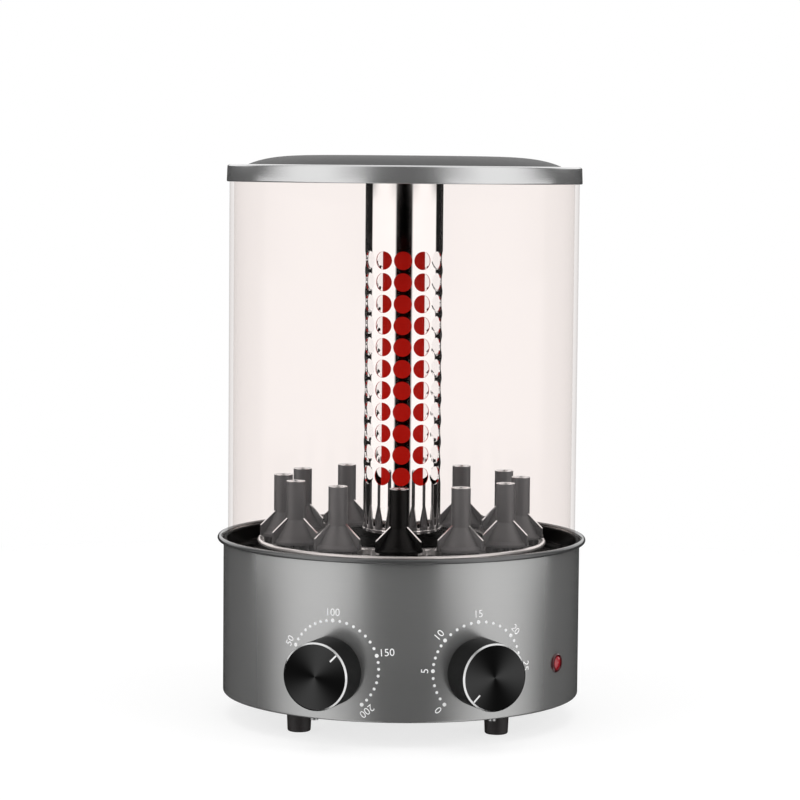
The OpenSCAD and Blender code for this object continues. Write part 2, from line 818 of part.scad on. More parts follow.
module terminal_block() {
  block_l = foot_ring_r / 2;
  block_w = post_d * 1.8;
  block_h = post_d * 1.4;
  poles = 4;
  color("ivory")
    translate([-block_l / 2, -block_w / 2 - post_d * 2, bottom_top])
      difference() {
        cube([block_l, block_w, block_h]);
        for (i = [0 : poles - 1])
          translate([block_l * (i + 0.5) / poles, 0, block_h / 2]) {
            translate([0, -cut, 0]) rotate([-90, 0, 0])
              cylinder(r = block_h / 5, h = block_w + 2 * cut);
            for (y = [0.25, 0.75])
              translate([0, y * block_w, 0]) cylinder(r = block_h / 6, h = block_h);
          }
      }
}

module cord_gland() {
  color("black")
    on_housing(back, gland_z)
      rotate_extrude()
        polygon([
          [gland_bore_r, -gland_in], [gland_neck_r * 1.1, -gland_in],
          [gland_neck_r * 1.2, -housing_wall * 4], [gland_neck_r - fit_gap, -housing_wall * 3],
          [gland_neck_r - fit_gap, 0], [gland_rim_r, 0],
          [gland_rim_r * 0.9, gland_rim_t], [gland_bore_r * 1.4, gland_rim_t * 1.6],
          [gland_bore_r, gland_rim_t * 1.6]
        ]);
}

module turntable_plate() {
  color("silver")
    difference() {
      rotate_extrude() {
        band(hub_r + fit_gap, table_floor_r + table_wall, table_z - table_wall, table_wall);
        polygon([
          [table_floor_r, table_z - table_wall], [table_floor_r + table_wall, table_z - table_wall],
          [table_bead_axis_r - table_bead_r + table_wall, table_bead_z],
          [table_bead_axis_r - table_bead_r, table_bead_z], [table_floor_r, table_z]
        ]);
        curl(table_bead_axis_r, table_bead_z, table_bead_r, table_wall);
      }
      translate([0, 0, table_z - table_wall - cut]) {
        around(cup_count, cup_ring_r, front + rest_turn)
          cylinder(r = pin_d / 2 + fit_gap / 2, h = table_wall + 2 * cut);
        around(rivet_count, hub_r + hub_flange_w / 2)
          cylinder(r = small_screw_d / 2 + fit_gap / 2, h = table_wall + 2 * cut);
      }
    }
}

module turntable_hub() {
  color("silver")
    difference() {
      union() {
        ring(hub_r, hub_bore_r, hub_seat_z, hub_top_z - hub_seat_z);
        ring(hub_flange_r, hub_bore_r, hub_flange_z, hub_flange_t);
        around(key_count, 0) hub_key(0);
      }
      around(rivet_count, hub_r + hub_flange_w / 2)
        translate([0, 0, hub_flange_z - cut])
          cylinder(r = small_screw_d / 2 + fit_gap / 2, h = hub_flange_t + 2 * cut);
    }
}

// a key on the hub's side, or the keyway for it where a gap is given
module hub_key(gap) {
  translate([hub_r - key_depth, -key_w / 2 - gap, hub_seat_z])
    cube([2 * key_depth + gap, key_w + 2 * gap, drive_z + drive_boss_h - hub_seat_z + gap]);
}

module drive_gear() {
  color("white")
    difference() {
      union() {
        translate([0, 0, drive_z]) linear_extrude(drive_w) gear_outline(drive_teeth, drive_module);
        translate([0, 0, drive_z]) cylinder(r = boss_r, h = drive_boss_h);
      }
      translate([0, 0, drive_z - cut]) cylinder(r = column_r + run_gap, h = drive_boss_h + 2 * cut);
      translate([0, 0, hub_seat_z]) cylinder(r = hub_r + fit_gap, h = drive_boss_h + cut);
      around(key_count, 0) hub_key(fit_gap);
      around(rivet_count, (boss_r + drive_distance - drive_module * pinion_teeth / 2) / 2)
        translate([0, 0, drive_z - cut]) cylinder(r = post_d / 2, h = drive_w + 2 * cut);
    }
}

module cup_pins() {
  color("silver")
    around(cup_count, cup_ring_r, front + rest_turn) {
      translate([0, 0, table_z - table_wall - pin_head_t])
        cylinder(r = pin_head_r, h = pin_head_t);
      translate([0, 0, table_z - table_wall - pin_head_t / 2])
        cylinder(r = pin_d / 2, h = table_wall + pin_head_t / 2 + pin_h);
    }
}

module hub_rivets() {
  color("silver")
    around(rivet_count, hub_r + hub_flange_w / 2) {
      translate([0, 0, hub_flange_z - pin_head_t])
        cylinder(r = small_screw_d * 0.8, h = pin_head_t);
      translate([0, 0, hub_flange_z - pin_head_t / 2])
        cylinder(r = small_screw_d / 2, h = table_z - hub_flange_z + pin_head_t / 2);
    }
}

// one skewer cup, standing at its own axis: gear, skirt, cone, tube and fins in one moulding
module cup() {
  rim = (cup_tube_d - socket_d) / 8;
  skirt_h = fin_low - cup_gear_w - run_gap;
  color([0.33, 0.33, 0.34])
    difference() {
      union() {
        translate([0, 0, cup_z]) rotate([0, 0, 180 / cup_teeth])
          linear_extrude(cup_gear_w + skirt_h / 8) gear_outline(cup_teeth, cup_module);
        rotate_extrude()
          polygon([
            [0, cup_skirt_z], [cup_skirt_r, cup_skirt_z], [cup_skirt_r, cup_skirt_z + skirt_h / 4],
            [cup_cone_r + cup_flare / 3, cup_skirt_z + skirt_h / 2],
            [cup_cone_r, table_z + fin_low - skirt_h / 4],
            [cup_tube_r, table_z + fin_top - fin_t], [cup_tube_r, cup_top_z - rim],
            [cup_tube_r - rim, cup_top_z], [0, cup_top_z]
          ]);
        for (i = [0 : fin_count - 1])
          rotate([0, 0, i * 360 / fin_count - front]) fin();
      }
      translate([0, 0, cup_z - cut]) cylinder(r = cup_bore_r, h = pin_h + cut);
      translate([0, 0, cup_top_z - socket_depth])
        cylinder(r = socket_d / 2, h = socket_depth + cut);
      translate([0, 0, cup_top_z - rim])
        cylinder(r1 = socket_d / 2, r2 = socket_d / 2 + rim * 2, h = rim * 2);
    }
}

// an upright fin whose top edge slopes from the tube to the skirt
module fin() {
  rotate([90, 0, 0])
    linear_extrude(fin_t, center = true)
      polygon([
        [cup_tube_r - fin_t, cup_skirt_z + fin_t], [fin_reach, cup_skirt_z + fin_t],
        [fin_reach, table_z + fin_low - fin_t / 2], [fin_reach - fin_t / 2, table_z + fin_low],
        [cup_tube_r, table_z + fin_top], [cup_tube_r - fin_t, table_z + fin_top]
      ]);
}

// one cup in its place on the turntable
module cup_at(i) {
  rotate([0, 0, front + rest_turn + i * 360 / cup_count]) translate([cup_ring_r, 0, 0])
    rotate([0, 0, -front - i * 360 / cup_count]) cup();
}

// a knob's moulded body on its spindle, its back open
module knob_body() {
  hub_in_r = bush_r * 1.35;
  color([0.05, 0.05, 0.05])
    difference() {
      translate([0, 0, knob_back]) cylinder(r = knob_r, h = cap_z - knob_back);
      difference() {
        translate([0, 0, knob_back - cut])
          cylinder(r = knob_r - knob_wall, h = knob_cavity_z - knob_back + cut);
        translate([0, 0, bush_out + run_gap * 2]) cylinder(r = hub_in_r, h = knob_face);
        for (a = [0, 90])
          rotate([0, 0, a]) translate([-knob_r, -knob_wall / 4, knob_cavity_z / 2])
            cube([knob_d, knob_wall / 2, knob_face]);
      }
      cylinder(r = spindle_r + fit_gap / 5, h = spindle_out);
    }
}

// a knob's face disc, with a bright chamfer and a slot for the pointer
module knob_cap(turn) {
  color([0.08, 0.08, 0.08])
    difference() {
      union() {
        translate([0, 0, cap_z]) cylinder(r = knob_r, h = cap_t - cap_chamfer);
        translate([0, 0, knob_face - cap_chamfer])
          cylinder(r1 = knob_r, r2 = knob_r - cap_chamfer, h = cap_chamfer);
      }
      rotate([0, 0, -turn]) translate([-pointer_out_r, -pointer_w / 2, knob_face - slot_depth])
        cube([pointer_l, pointer_w, cap_t]);
    }
}

module knob_pointer(turn) {
  color("white")
    rotate([0, 0, -turn]) translate([-pointer_out_r, -pointer_w / 2, knob_face - slot_depth])
      cube([pointer_l, pointer_w, slot_depth + fit_gap / 2]);
}

module knob_spindle() {
  color("silver") translate([0, 0, -spindle_in]) cylinder(r = spindle_r, h = spindle_in + spindle_out);
}

module glass_cylinder() {
  color("aliceblue", 0.3) ring(glass_r, glass_in_r, glass_z, glass_l);
}

module lid_rim() {
  low = lid_band_low_z;
  high = lid_band_top_z;
  color("silver")
    rotate_extrude()
      polygon([
        [lid_low_r - lid_wall, low], [lid_low_r, low], [lid_high_r, high],
        [lid_high_r - lid_wall, lid_top_z], [lid_ring_r, lid_top_z],
        [lid_ring_r, lid_under_z], [lid_high_r - lid_wall, lid_under_z]
      ]);
}

// the lid's flat ring and flat-topped dome, in one sheet
module lid_dome() {
  color("gray")
    rotate_extrude()
      polygon(concat(
        [for (i = [0 : dome_steps]) dome_point(i / dome_steps, lid_top_z)],
        [[lid_ring_r, lid_top_z], [lid_ring_r, lid_under_z]],
        [for (i = [dome_steps : -1 : 0]) dome_point(i / dome_steps, lid_under_z)]));
}

function dome_point(share, foot_z) =
  let (t = sin(90 * share)) [dome_r * t, foot_z + dome_rise * (1 - pow(t, dome_power))];

module lid_gasket() {
  color("dimgray") ring(glass_r, glass_in_r - glass_wall / 3, lid_z, gasket_t);
}

housing_shell();
bottom_plate();
deck_plate();
deck_posts();
case_screws();
feet();
foot_screws();
drip_pan();
column_flange();
column_sleeve();
column_ferrule();
column_base_ring();
column_cap();
sun_gear();
thrust_washer();
heater_tube();
heater_core();
heater_end_lower();
heater_end_upper();
thermostat_body();
timer_body();
timer_bell();
panel_nuts();
lamp_lens();
lamp_holder();
motor_case();
terminal_block();
cord_gland();
turntable_plate();
turntable_hub();
drive_gear();
cup_pins();
hub_rivets();
motor_pinion();
cup_at(0);  // cup_01
cup_at(1);  // cup_02
cup_at(2);  // cup_03
cup_at(3);  // cup_04
cup_at(4);  // cup_05
cup_at(5);  // cup_06
cup_at(6);  // cup_07
cup_at(7);  // cup_08
cup_at(8);  // cup_09
cup_at(9);  // cup_10
cup_at(10);  // cup_11
cup_at(11);  // cup_12
on_housing(thermostat_a, knob_z) knob_body();  // thermostat_knob
on_housing(thermostat_a, knob_z) knob_cap(thermostat_rest);  // thermostat_cap
on_housing(thermostat_a, knob_z) knob_pointer(thermostat_rest);  // thermostat_pointer
on_housing(thermostat_a, knob_z) knob_spindle();  // thermostat_spindle
on_housing(timer_a, knob_z) knob_body();  // timer_knob
on_housing(timer_a, knob_z) knob_cap(timer_rest);  // timer_cap
on_housing(timer_a, knob_z) knob_pointer(timer_rest);  // timer_pointer
on_housing(timer_a, knob_z) knob_spindle();  // timer_spindle
glass_cylinder();
lid_rim();
lid_dome();
lid_gasket();
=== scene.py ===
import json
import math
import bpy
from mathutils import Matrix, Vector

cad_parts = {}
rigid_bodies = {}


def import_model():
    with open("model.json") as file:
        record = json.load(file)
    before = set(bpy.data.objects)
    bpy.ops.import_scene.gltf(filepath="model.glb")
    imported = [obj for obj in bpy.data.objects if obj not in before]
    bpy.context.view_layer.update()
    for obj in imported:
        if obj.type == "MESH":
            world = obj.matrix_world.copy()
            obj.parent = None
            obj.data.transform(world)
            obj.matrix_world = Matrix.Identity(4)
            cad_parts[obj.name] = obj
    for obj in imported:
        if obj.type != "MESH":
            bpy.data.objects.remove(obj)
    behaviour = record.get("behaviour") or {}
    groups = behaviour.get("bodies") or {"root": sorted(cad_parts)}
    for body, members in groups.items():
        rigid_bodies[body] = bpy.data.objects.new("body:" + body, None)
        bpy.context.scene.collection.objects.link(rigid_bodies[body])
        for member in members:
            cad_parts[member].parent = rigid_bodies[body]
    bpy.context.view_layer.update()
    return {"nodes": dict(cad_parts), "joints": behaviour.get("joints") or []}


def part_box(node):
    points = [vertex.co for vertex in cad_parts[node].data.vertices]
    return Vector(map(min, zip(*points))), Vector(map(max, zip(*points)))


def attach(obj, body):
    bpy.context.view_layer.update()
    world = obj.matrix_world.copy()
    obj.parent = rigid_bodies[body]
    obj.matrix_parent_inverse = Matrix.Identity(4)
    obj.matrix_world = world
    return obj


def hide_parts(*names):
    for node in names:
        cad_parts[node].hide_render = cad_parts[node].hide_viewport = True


bl_info = {
    "name": "Electric skewer grill",
    "version": (1, 0, 0),
    "blender": (4, 5, 0),
    "location": "View3D > Sidebar > Grill",
    "description": "Dresses the packed skewer grill: sheet metal, cups, dials, glass and studio",
    "category": "Object",
}

import bmesh
import bpy
from bpy.props import FloatProperty, FloatVectorProperty, IntProperty, PointerProperty
from mathutils import Matrix, Quaternion, Vector

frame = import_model()
NODES = frame["nodes"]
JOINTS = {joint["name"]: joint for joint in frame["joints"]}
MM = 0.001
CUPS = sorted(name for name in NODES if name.startswith("cup_") and name != "cup_pins")


# Sizes read from the frame

def reach(node):
    """Largest distance of a round node's wall from the centre axis."""
    low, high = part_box(node)
    return max(high.x, -low.x, high.y, -low.y)


def heights(node):
    """Lowest and highest z of a node."""
    low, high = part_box(node)
    return low.z, high.z


def dial_frame(node_body):
    """Matrix from a knob's own frame (X right, Y up, Z out of the housing) to the row frame."""
    joint = JOINTS[node_body + "_turn"]
    out = -Vector(joint["axis"]).normalized()
    up = Vector((0, 0, 1))
    right = up.cross(out).normalized()
    turn = Matrix((right, up, out)).transposed().to_4x4()
    return Matrix.Translation(Vector(joint["pos_m"])) @ turn


def turn_at_rest():
    """Turn of the cups and the column's holes from the plane between the knobs."""
    spot = JOINTS[CUPS[0] + "_spin"]["pos_m"]
    return math.atan2(spot[0], -spot[1])


REST = turn_at_rest()


# Sizes and colours that a user would change

class GrillSizes(bpy.types.PropertyGroup):
    """Sizes of what the scene adds to the frame."""

    steps: IntProperty(name="Lathe steps", description="Faces round a turned piece",
                       default=192, min=48, max=384)
    edge: FloatProperty(name="Edge", description="Radius of small rounded edges",
                        default=0.25 * MM, unit="LENGTH")
    number_gap: FloatProperty(name="Number gap", description="From a numbered dot to its number",
                              default=5 * MM, unit="LENGTH")
    digit: FloatProperty(name="Digit", description="Height of a printed number's type",
                         default=6.7 * MM, unit="LENGTH")
    big_dot: FloatProperty(name="Big dot", description="Radius of a numbered dot",
                           default=1.25 * MM, unit="LENGTH")
    small_dot: FloatProperty(name="Small dot", description="Radius of a dot between numbers",
                             default=0.95 * MM, unit="LENGTH")
    hole: FloatProperty(name="Hole", description="Radius of a hole in the column",
                        default=6 * MM, unit="LENGTH")
    hole_low: FloatProperty(name="Lowest holes", description="Height of the lowest row of holes",
                            default=161.3 * MM, unit="LENGTH")
    hole_pitch: FloatProperty(name="Hole pitch", description="Height between rows of holes",
                              default=14.14 * MM, unit="LENGTH")
    camera_far: FloatProperty(name="Camera distance", description="From the lens to the axis",
                              default=1.89, unit="LENGTH")
    eye: FloatProperty(name="Eye height", description="Height of the camera above the floor",
                       default=0.363, unit="LENGTH")
    aim: FloatProperty(name="Aim height", description="Height on the axis that the camera faces",
                       default=0.2098, unit="LENGTH")
    camera_turn: FloatProperty(name="Camera turn", description="Turn of the camera to the left",
                               default=math.radians(1.2), unit="ROTATION")
    camera_roll: FloatProperty(name="Camera roll", description="Tilt of the camera's horizon",
                               default=math.radians(0.52), unit="ROTATION")
    lens: FloatProperty(name="Lens", description="Focal length on a 36 mm sensor",
                        default=128.9, min=20)
    floor: FloatProperty(name="Floor", description="Radius of the floor", default=0.9,
                         unit="LENGTH")


def colour(name, description, default):
    """A colour property."""
    return FloatVectorProperty(name=name, description=description, default=default,
                               subtype="COLOR", size=3, min=0, max=1)


class GrillColours(bpy.types.PropertyGroup):
    """Colours of the finishes."""

    steel: colour("Housing steel", "Dark brushed steel", (0.43, 0.43, 0.426))
    chrome: colour("Chrome", "Bright plating", (0.98, 0.98, 0.98))
    polished: colour("Polished steel", "Turntable and sun gear", (0.8, 0.8, 0.8))
    cup: colour("Cup", "Satin grey of the cups", (0.085, 0.085, 0.088))
    # Painted shade: the cup at the front gets a much darker copy of the cup colour, standing in for
    # the shade and dark reflections it sits in.
    front_cup: colour("Front cup", "Painted shade: a darker copy of the cup colour for the cup at the front", (0.004, 0.004, 0.004))
    black: colour("Black", "Enamel and knobs", (0.008, 0.008, 0.008))
    # Painted highlight: the knob face colour is the bright end of two highlight cones painted on
    # each face.
    face: colour("Knob face", "Black spun metal at the bright end of its painted highlight cones", (0.05, 0.05, 0.05))
    glow: colour("Glow", "Hot quartz", (0.36, 0.006, 0.003))
    lamp: colour("Lamp", "Red lens", (0.3, 0.008, 0.016))
    lid: colour("Lid band", "Silver band", (0.65, 0.65, 0.65))
    dome: colour("Lid dome", "Dark grey dome", (0.085, 0.085, 0.085))
    rubber: colour("Rubber", "Feet", (0.02, 0.016, 0.016))
    glass: colour("Glass", "Tint of the glass", (0.987, 0.968, 0.96))
    print_white: colour("Print", "Printed dots and numbers", (0.86, 0.86, 0.86))


# Shader maths

class Wire:
    """A shader socket on which Python's operators add Math nodes."""

    def __init__(self, maker, socket):
        self.maker = maker
        self.socket = socket

    def math(self, operation, *others, clamp=False):
        values = dict(enumerate((self,) + others))
        return self.maker.node("ShaderNodeMath", values, operation=operation, use_clamp=clamp)[0]

    def __add__(self, other):
        return self.math("ADD", other)

    __radd__ = __add__

    def __sub__(self, other):
        return self.math("SUBTRACT", other)

    def __rsub__(self, other):
        return self.maker.node("ShaderNodeMath", {0: other, 1: self}, operation="SUBTRACT")[0]

    def __mul__(self, other):
        return self.math("MULTIPLY", other)

    __rmul__ = __mul__

    def __truediv__(self, other):
        return self.math("DIVIDE", other)

    def __pow__(self, other):
        return self.math("POWER", other)


class Made:
    """A node whose outputs are read as wires, by name or number."""

    def __init__(self, maker, node):
        self.maker = maker
        self.node = node

    def __getitem__(self, key):
        return Wire(self.maker, self.node.outputs[key])


class Maker:
    """Builds nodes in one shader tree."""

    def __init__(self, tree):
        self.tree = tree
        tree.nodes.clear()

    def node(self, kind, values=None, stops=None, **settings):
        made = self.tree.nodes.new(kind)
        for name, value in settings.items():
            setattr(made, name, value)
        if stops:
            self.set_stops(made.color_ramp, stops)
        for key, value in (values or {}).items():
            if isinstance(value, Wire):
                self.tree.links.new(value.socket, made.inputs[key])
            else:
                made.inputs[key].default_value = value
        return Made(self, made)

    @staticmethod
    def set_stops(ramp, stops):
        while len(ramp.elements) < len(stops):
            ramp.elements.new(1)
        for element, (position, value) in zip(ramp.elements, stops):
            element.position = position
            element.color = (value, value, value, 1)

    def mix(self, a, b, factor):
        """Mix two colours."""
        return self.node("ShaderNodeMix", {0: factor, 6: a, 7: b}, data_type="RGBA")[2]

    def position(self):
        """Object coordinates in metres: the vector and its three parts."""
        vector = self.node("ShaderNodeTexCoord")["Object"]
        parts = self.node("ShaderNodeSeparateXYZ", {0: vector})
        return vector, parts[0], parts[1], parts[2]

    def vector(self, x, y, z):
        return self.node("ShaderNodeCombineXYZ", {0: x, 1: y, 2: z})[0]

    def noise(self, vector, scale, detail=2.0):
        return self.node("ShaderNodeTexNoise", {"Vector": vector, "Scale": scale,
                                                "Detail": detail})[0]

    def bump(self, height, distance, strength=1.0):
        return self.node("ShaderNodeBump", {"Height": height, "Distance": distance,
                                            "Strength": strength})[0]


class Finish(Maker):
    """A material whose surface is one shader."""

    def __init__(self, name):
        self.material = bpy.data.materials.new(name)
        self.material.use_nodes = True
        super().__init__(self.material.node_tree)

    def surface(self, shader):
        self.node("ShaderNodeOutputMaterial", {"Surface": shader})
        return self.material

    def principled(self, **values):
        """Close the material with a Principled shader; a name's underscores stand for spaces."""
        sockets = {name.replace("_", " "): value for name, value in values.items()}
        return self.surface(self.node("ShaderNodeBsdfPrincipled", sockets)[0])


def opaque(rgb):
    return (*rgb, 1.0)


def tones(finish, rgb, mask, spread):
    """A colour that drifts darker and lighter with a mask from 0 to 1."""
    dark = opaque([c * (1 - spread) for c in rgb])
    light = opaque([min(1, c * (1 + spread)) for c in rgb])
    return finish.mix(dark, light, mask)


# Finishes

def brushed(name, rgb, rough, metallic=1.0):
    """Sheet metal brushed round the centre axis, with faint wear in its sheen."""
    finish = Finish(name)
    vector, x, y, z = finish.position()
    turn = y.math("ARCTAN2", x)
    grain = finish.noise(finish.vector(turn * 5, z * 3200, 0.0), 1.0, 3.0)
    drift = finish.noise(vector, 18.0)
    return finish.principled(
        Base_Color=tones(finish, rgb, grain * 0.7 + drift * 0.3, 0.06),
        Metallic=metallic,
        Roughness=rough + (grain - 0.5) * 0.08 + (drift - 0.5) * 0.04,
        Normal=finish.bump(grain, 0.012 * MM))


def mirror_plate(name, rgb, rough):
    """Bright plating with the faintest waviness and dust."""
    finish = Finish(name)
    vector, x, y, z = finish.position()
    wave = finish.noise(vector, 60.0)
    dust = finish.noise(vector, 900.0)
    return finish.principled(
        Base_Color=tones(finish, rgb, wave, 0.02),
        Metallic=1.0,
        Roughness=rough + dust * 0.03,
        Normal=finish.bump(wave, 0.006 * MM))


def spun(name, rgb, rough, groove, metallic=1.0):
    """Metal turned on a lathe, with fine rings round the centre axis."""
    finish = Finish(name)
    vector, x, y, z = finish.position()
    radius = (x * x + y * y) ** 0.5
    rings = finish.noise(finish.vector(radius * 2600, 0.0, 0.0), 1.0, 2.0)
    smear = finish.noise(vector, 35.0)
    return finish.principled(
        Base_Color=tones(finish, rgb, rings * 0.5 + smear * 0.5, 0.08),
        Metallic=metallic,
        Roughness=rough + (smear - 0.5) * 0.08,
        Normal=finish.bump(rings, groove))


def enamel(name, rgb, rough):
    """Black enamel with a slightly uneven surface."""
    finish = Finish(name)
    vector, x, y, z = finish.position()
    peel = finish.noise(vector, 420.0)
    cloud = finish.noise(vector, 25.0)
    return finish.principled(
        Base_Color=tones(finish, rgb, cloud, 0.2),
        Roughness=rough + (cloud - 0.5) * 0.08,
        Normal=finish.bump(peel, 0.01 * MM),
        Specular_IOR_Level=0.03)


def moulded(name, rgb, rough, scale=700.0, depth=0.02 * MM, metallic=0.0, gloss=0.5):
    """Moulded plastic, rubber or satin paint with a fine grain."""
    finish = Finish(name)
    vector, x, y, z = finish.position()
    grain = finish.noise(vector, scale, 3.0)
    cloud = finish.noise(vector, 40.0)
    return finish.principled(
        Base_Color=tones(finish, rgb, cloud, 0.06),
        Metallic=metallic,
        Roughness=rough + (grain - 0.5) * 0.12,
        Specular_IOR_Level=gloss,
        Normal=finish.bump(grain, depth))


def glowing(name, rgb, low, high):
    """Hot quartz over a wound wire: its turns show, and the top end is cooler."""
    finish = Finish(name)
    vector, x, y, z = finish.position()
    turns = (z * (2 * math.pi / (2.4 * MM))).math("SINE") * 0.5 + 0.5
    cloud = finish.noise(vector, 45.0)
    warm = ((high - z) / (0.6 * (high - low))).math("MINIMUM", 1.0)
    share = warm * 0.55 + turns * 0.1 + cloud * 0.35
    heat = finish.mix(opaque([c * 0.5 for c in rgb]), opaque(rgb), share)
    return finish.principled(
        Base_Color=opaque([c * 0.3 for c in rgb]),
        Roughness=0.35 + cloud * 0.1,
        Specular_IOR_Level=0.1,
        Emission_Color=heat,
        Emission_Strength=0.9)


def clear_glass(name, rgb, rim):
    """A wall of clear glass: the more slanting the view through it, the greyer it is."""
    finish = Finish(name)
    vector, x, y, z = finish.position()
    edge = finish.node("ShaderNodeLayerWeight", {"Blend": 0.5})["Facing"]
    clear = finish.node("ShaderNodeBsdfTransparent", {0: opaque(rgb)})[0]
    dark = finish.node("ShaderNodeBsdfTransparent", {0: (0.02, 0.02, 0.02, 1)})[0]
    through = finish.node("ShaderNodeMixShader", {
        0: edge ** 3 * 0.06 + edge ** 10 * rim, 1: clear, 2: dark})[0]
    smudge = finish.noise(vector, 14.0)
    gloss = finish.node("ShaderNodeBsdfGlossy", {"Color": (1, 1, 1, 1),
                                                 "Roughness": 0.03 + smudge * 0.03})[0]
    return finish.surface(finish.node("ShaderNodeMixShader", {
        0: (edge ** 5 * 0.04 + 0.012) * (0.7 + smudge * 0.6), 1: through, 2: gloss})[0])


def lens_red(name, rgb):
    """Red moulded lens with rings that catch the light."""
    finish = Finish(name)
    vector, x, y, z = finish.position()
    cloud = finish.noise(vector, 160.0)
    facets = finish.noise(vector, 520.0)
    return finish.principled(
        Base_Color=finish.mix(opaque([c * 0.5 for c in rgb]), opaque([min(1, c * 1.6) for c in rgb]),
                              cloud),
        Roughness=0.12 + cloud * 0.1,
        Normal=finish.bump(facets, 0.15 * MM),
        Coat_Weight=0.8,
        Coat_Roughness=0.05)


def knob_face_with_painted_cones(name, rgb, matrix, cone):
    """Black spun face with two opposed highlight cones painted into its base colour, standing in for
    the light its turned rings catch.
    """
    finish = Finish(name)
    out = matrix.to_3x3() @ Vector((0, 0, 1))
    cone_highlight_axis = matrix.to_3x3() @ Vector((math.sin(cone), math.cos(cone), 0))
    vector = finish.node("ShaderNodeTexCoord")["Object"]
    arm = finish.node("ShaderNodeVectorMath", {0: vector, 1: matrix.translation},
                      operation="SUBTRACT")[0]
    depth = finish.node("ShaderNodeVectorMath", {0: arm, 1: out}, operation="DOT_PRODUCT")[1]
    along = finish.node("ShaderNodeVectorMath", {0: out, "Scale": depth}, operation="SCALE")[0]
    flat = finish.node("ShaderNodeVectorMath", {0: arm, 1: along}, operation="SUBTRACT")[0]
    radius = finish.node("ShaderNodeVectorMath", {0: flat}, operation="LENGTH")[1]
    radial = finish.node("ShaderNodeVectorMath", {0: flat}, operation="NORMALIZE")[0]
    lean = finish.node("ShaderNodeVectorMath", {0: radial, 1: cone_highlight_axis},
                       operation="DOT_PRODUCT")[1]
    grain = finish.node("ShaderNodeTexNoise", {"W": radius * 9000, "Detail": 2.0},
                        noise_dimensions="1D")[0]
    # Painted highlight: the base colour brightens in two opposed cones round the face, about the
    # given axis.
    share = (lean * lean) ** 1.3 * (0.82 + grain * 0.36)
    return finish.principled(
        Base_Color=finish.mix(opaque([c * 0.1 for c in rgb]), opaque(rgb), share),
        Metallic=1.0,
        Roughness=0.32 + grain * 0.08,
        Normal=finish.bump(grain, 0.004 * MM))


def printed(name, rgb):
    """Screen-printed ink, a little uneven, with a faint painted glow: a weak white emission lifts it
    above its lit colour.
    """
    finish = Finish(name)
    vector, x, y, z = finish.position()
    speck = finish.noise(vector, 1400.0)
    return finish.principled(
        Base_Color=tones(finish, rgb, speck, 0.06),
        Roughness=0.5 + speck * 0.2,
        # Painted glow: the ink emits a little white light of its own.
        Emission_Color=(1, 1, 1, 1),
        Emission_Strength=0.12)


FINISHES = {}


def make_finishes(colours):
    """Every finish, by the maker's name for it."""
    FINISHES.update(
        housing=brushed("housing brushed steel", colours.steel, 0.2, 0.72),
        # Painted shade: the housing's rolled rim takes a much darker copy of the polished steel
        # colour, standing in for the dark reflections along its bead.
        rim=brushed("rolled rim", [c * 0.17 for c in colours.polished], 0.14, 0.6),
        chrome=mirror_plate("column chrome", colours.chrome, 0.02),
        polished=spun("spun steel", colours.polished, 0.16, 0.004 * MM, 0.6),
        zinc=moulded("zinc plate", (0.5, 0.5, 0.5), 0.35, 300.0, 0.01 * MM, 1.0),
        enamel=enamel("pan enamel", colours.black, 0.55),
        foot=moulded("foot ring", colours.black, 0.6, 900.0, 0.008 * MM, 0.0, 0.0),
        cup=moulded("cup satin", colours.cup, 0.38, 900.0, 0.004 * MM),
        # Painted shade: a darker copy of the cup satin, used only on the front cup.
        front_cup=moulded("front cup satin", colours.front_cup, 0.3, 900.0, 0.004 * MM, 0.0, 0.15),
        bright=mirror_plate("cut edge", (0.85, 0.85, 0.85), 0.2),
        knob=moulded("knob side", colours.black, 0.5, 900.0, 0.008 * MM, 0.0, 0.12),
        rubber=moulded("foot rubber", colours.rubber, 0.6, 800.0, 0.03 * MM),
        glow=glowing("hot quartz", colours.glow, *heights("heater_tube")),
        glass=clear_glass("clear glass", colours.glass, 0.2),
        glass_inside=clear_glass("inner wall of the glass", colours.glass, 0.0),
        lamp=lens_red("lamp lens", colours.lamp),
        lamp_rim=lens_red("lamp rim", [c * 0.2 for c in colours.lamp]),
        lid=brushed("lid band", colours.lid, 0.2, 0.82),
        dome=moulded("lid dome", colours.dome, 0.5, 300.0, 0.01 * MM, 0.0, 0.06),
        silicone=moulded("silicone", (0.32, 0.32, 0.31), 0.5),
        nylon=moulded("nylon", (0.72, 0.7, 0.64), 0.45),
        phenolic=moulded("phenolic", (0.13, 0.07, 0.035), 0.4),
        ceramic=moulded("ceramic", (0.75, 0.73, 0.68), 0.6),
        print=printed("dial print", colours.print_white),
    )


# Outlines of turned pieces, in (radius, height)

def fillet(points, radii, closed, steps=5):
    """Round the corners of an outline: one radius for each corner, 0 for none."""
    result = []
    count = len(points)
    for i, (point, radius) in enumerate(zip(points, radii)):
        if radius == 0 or (not closed and i in (0, count - 1)):
            result.append(tuple(point))
            continue
        corner = Vector(point)
        before = (Vector(points[i - 1]) - corner)
        after = (Vector(points[(i + 1) % count]) - corner)
        half = before.angle(after) / 2
        run = min(radius / math.tan(half), before.length * 0.49, after.length * 0.49)
        start = corner + before.normalized() * run
        end = corner + after.normalized() * run
        for step in range(steps + 1):
            t = step / steps
            bend = start * (1 - t) ** 2 + corner * (2 * t * (1 - t)) + end * t ** 2
            result.append(tuple(bend))
    return result


def strip(path, wall):
    """Outline of bent sheet metal of one thickness whose middle follows a path."""
    left, right = [], []
    last = len(path) - 1
    for i, point in enumerate(path):
        ahead = Vector(path[min(i + 1, last)]) - Vector(path[max(i - 1, 0)])
        side = Vector((-ahead.y, ahead.x)).normalized() * wall / 2
        left.append(tuple(Vector(point) + side))
        right.append(tuple(Vector(point) - side))
    return left + right[::-1]


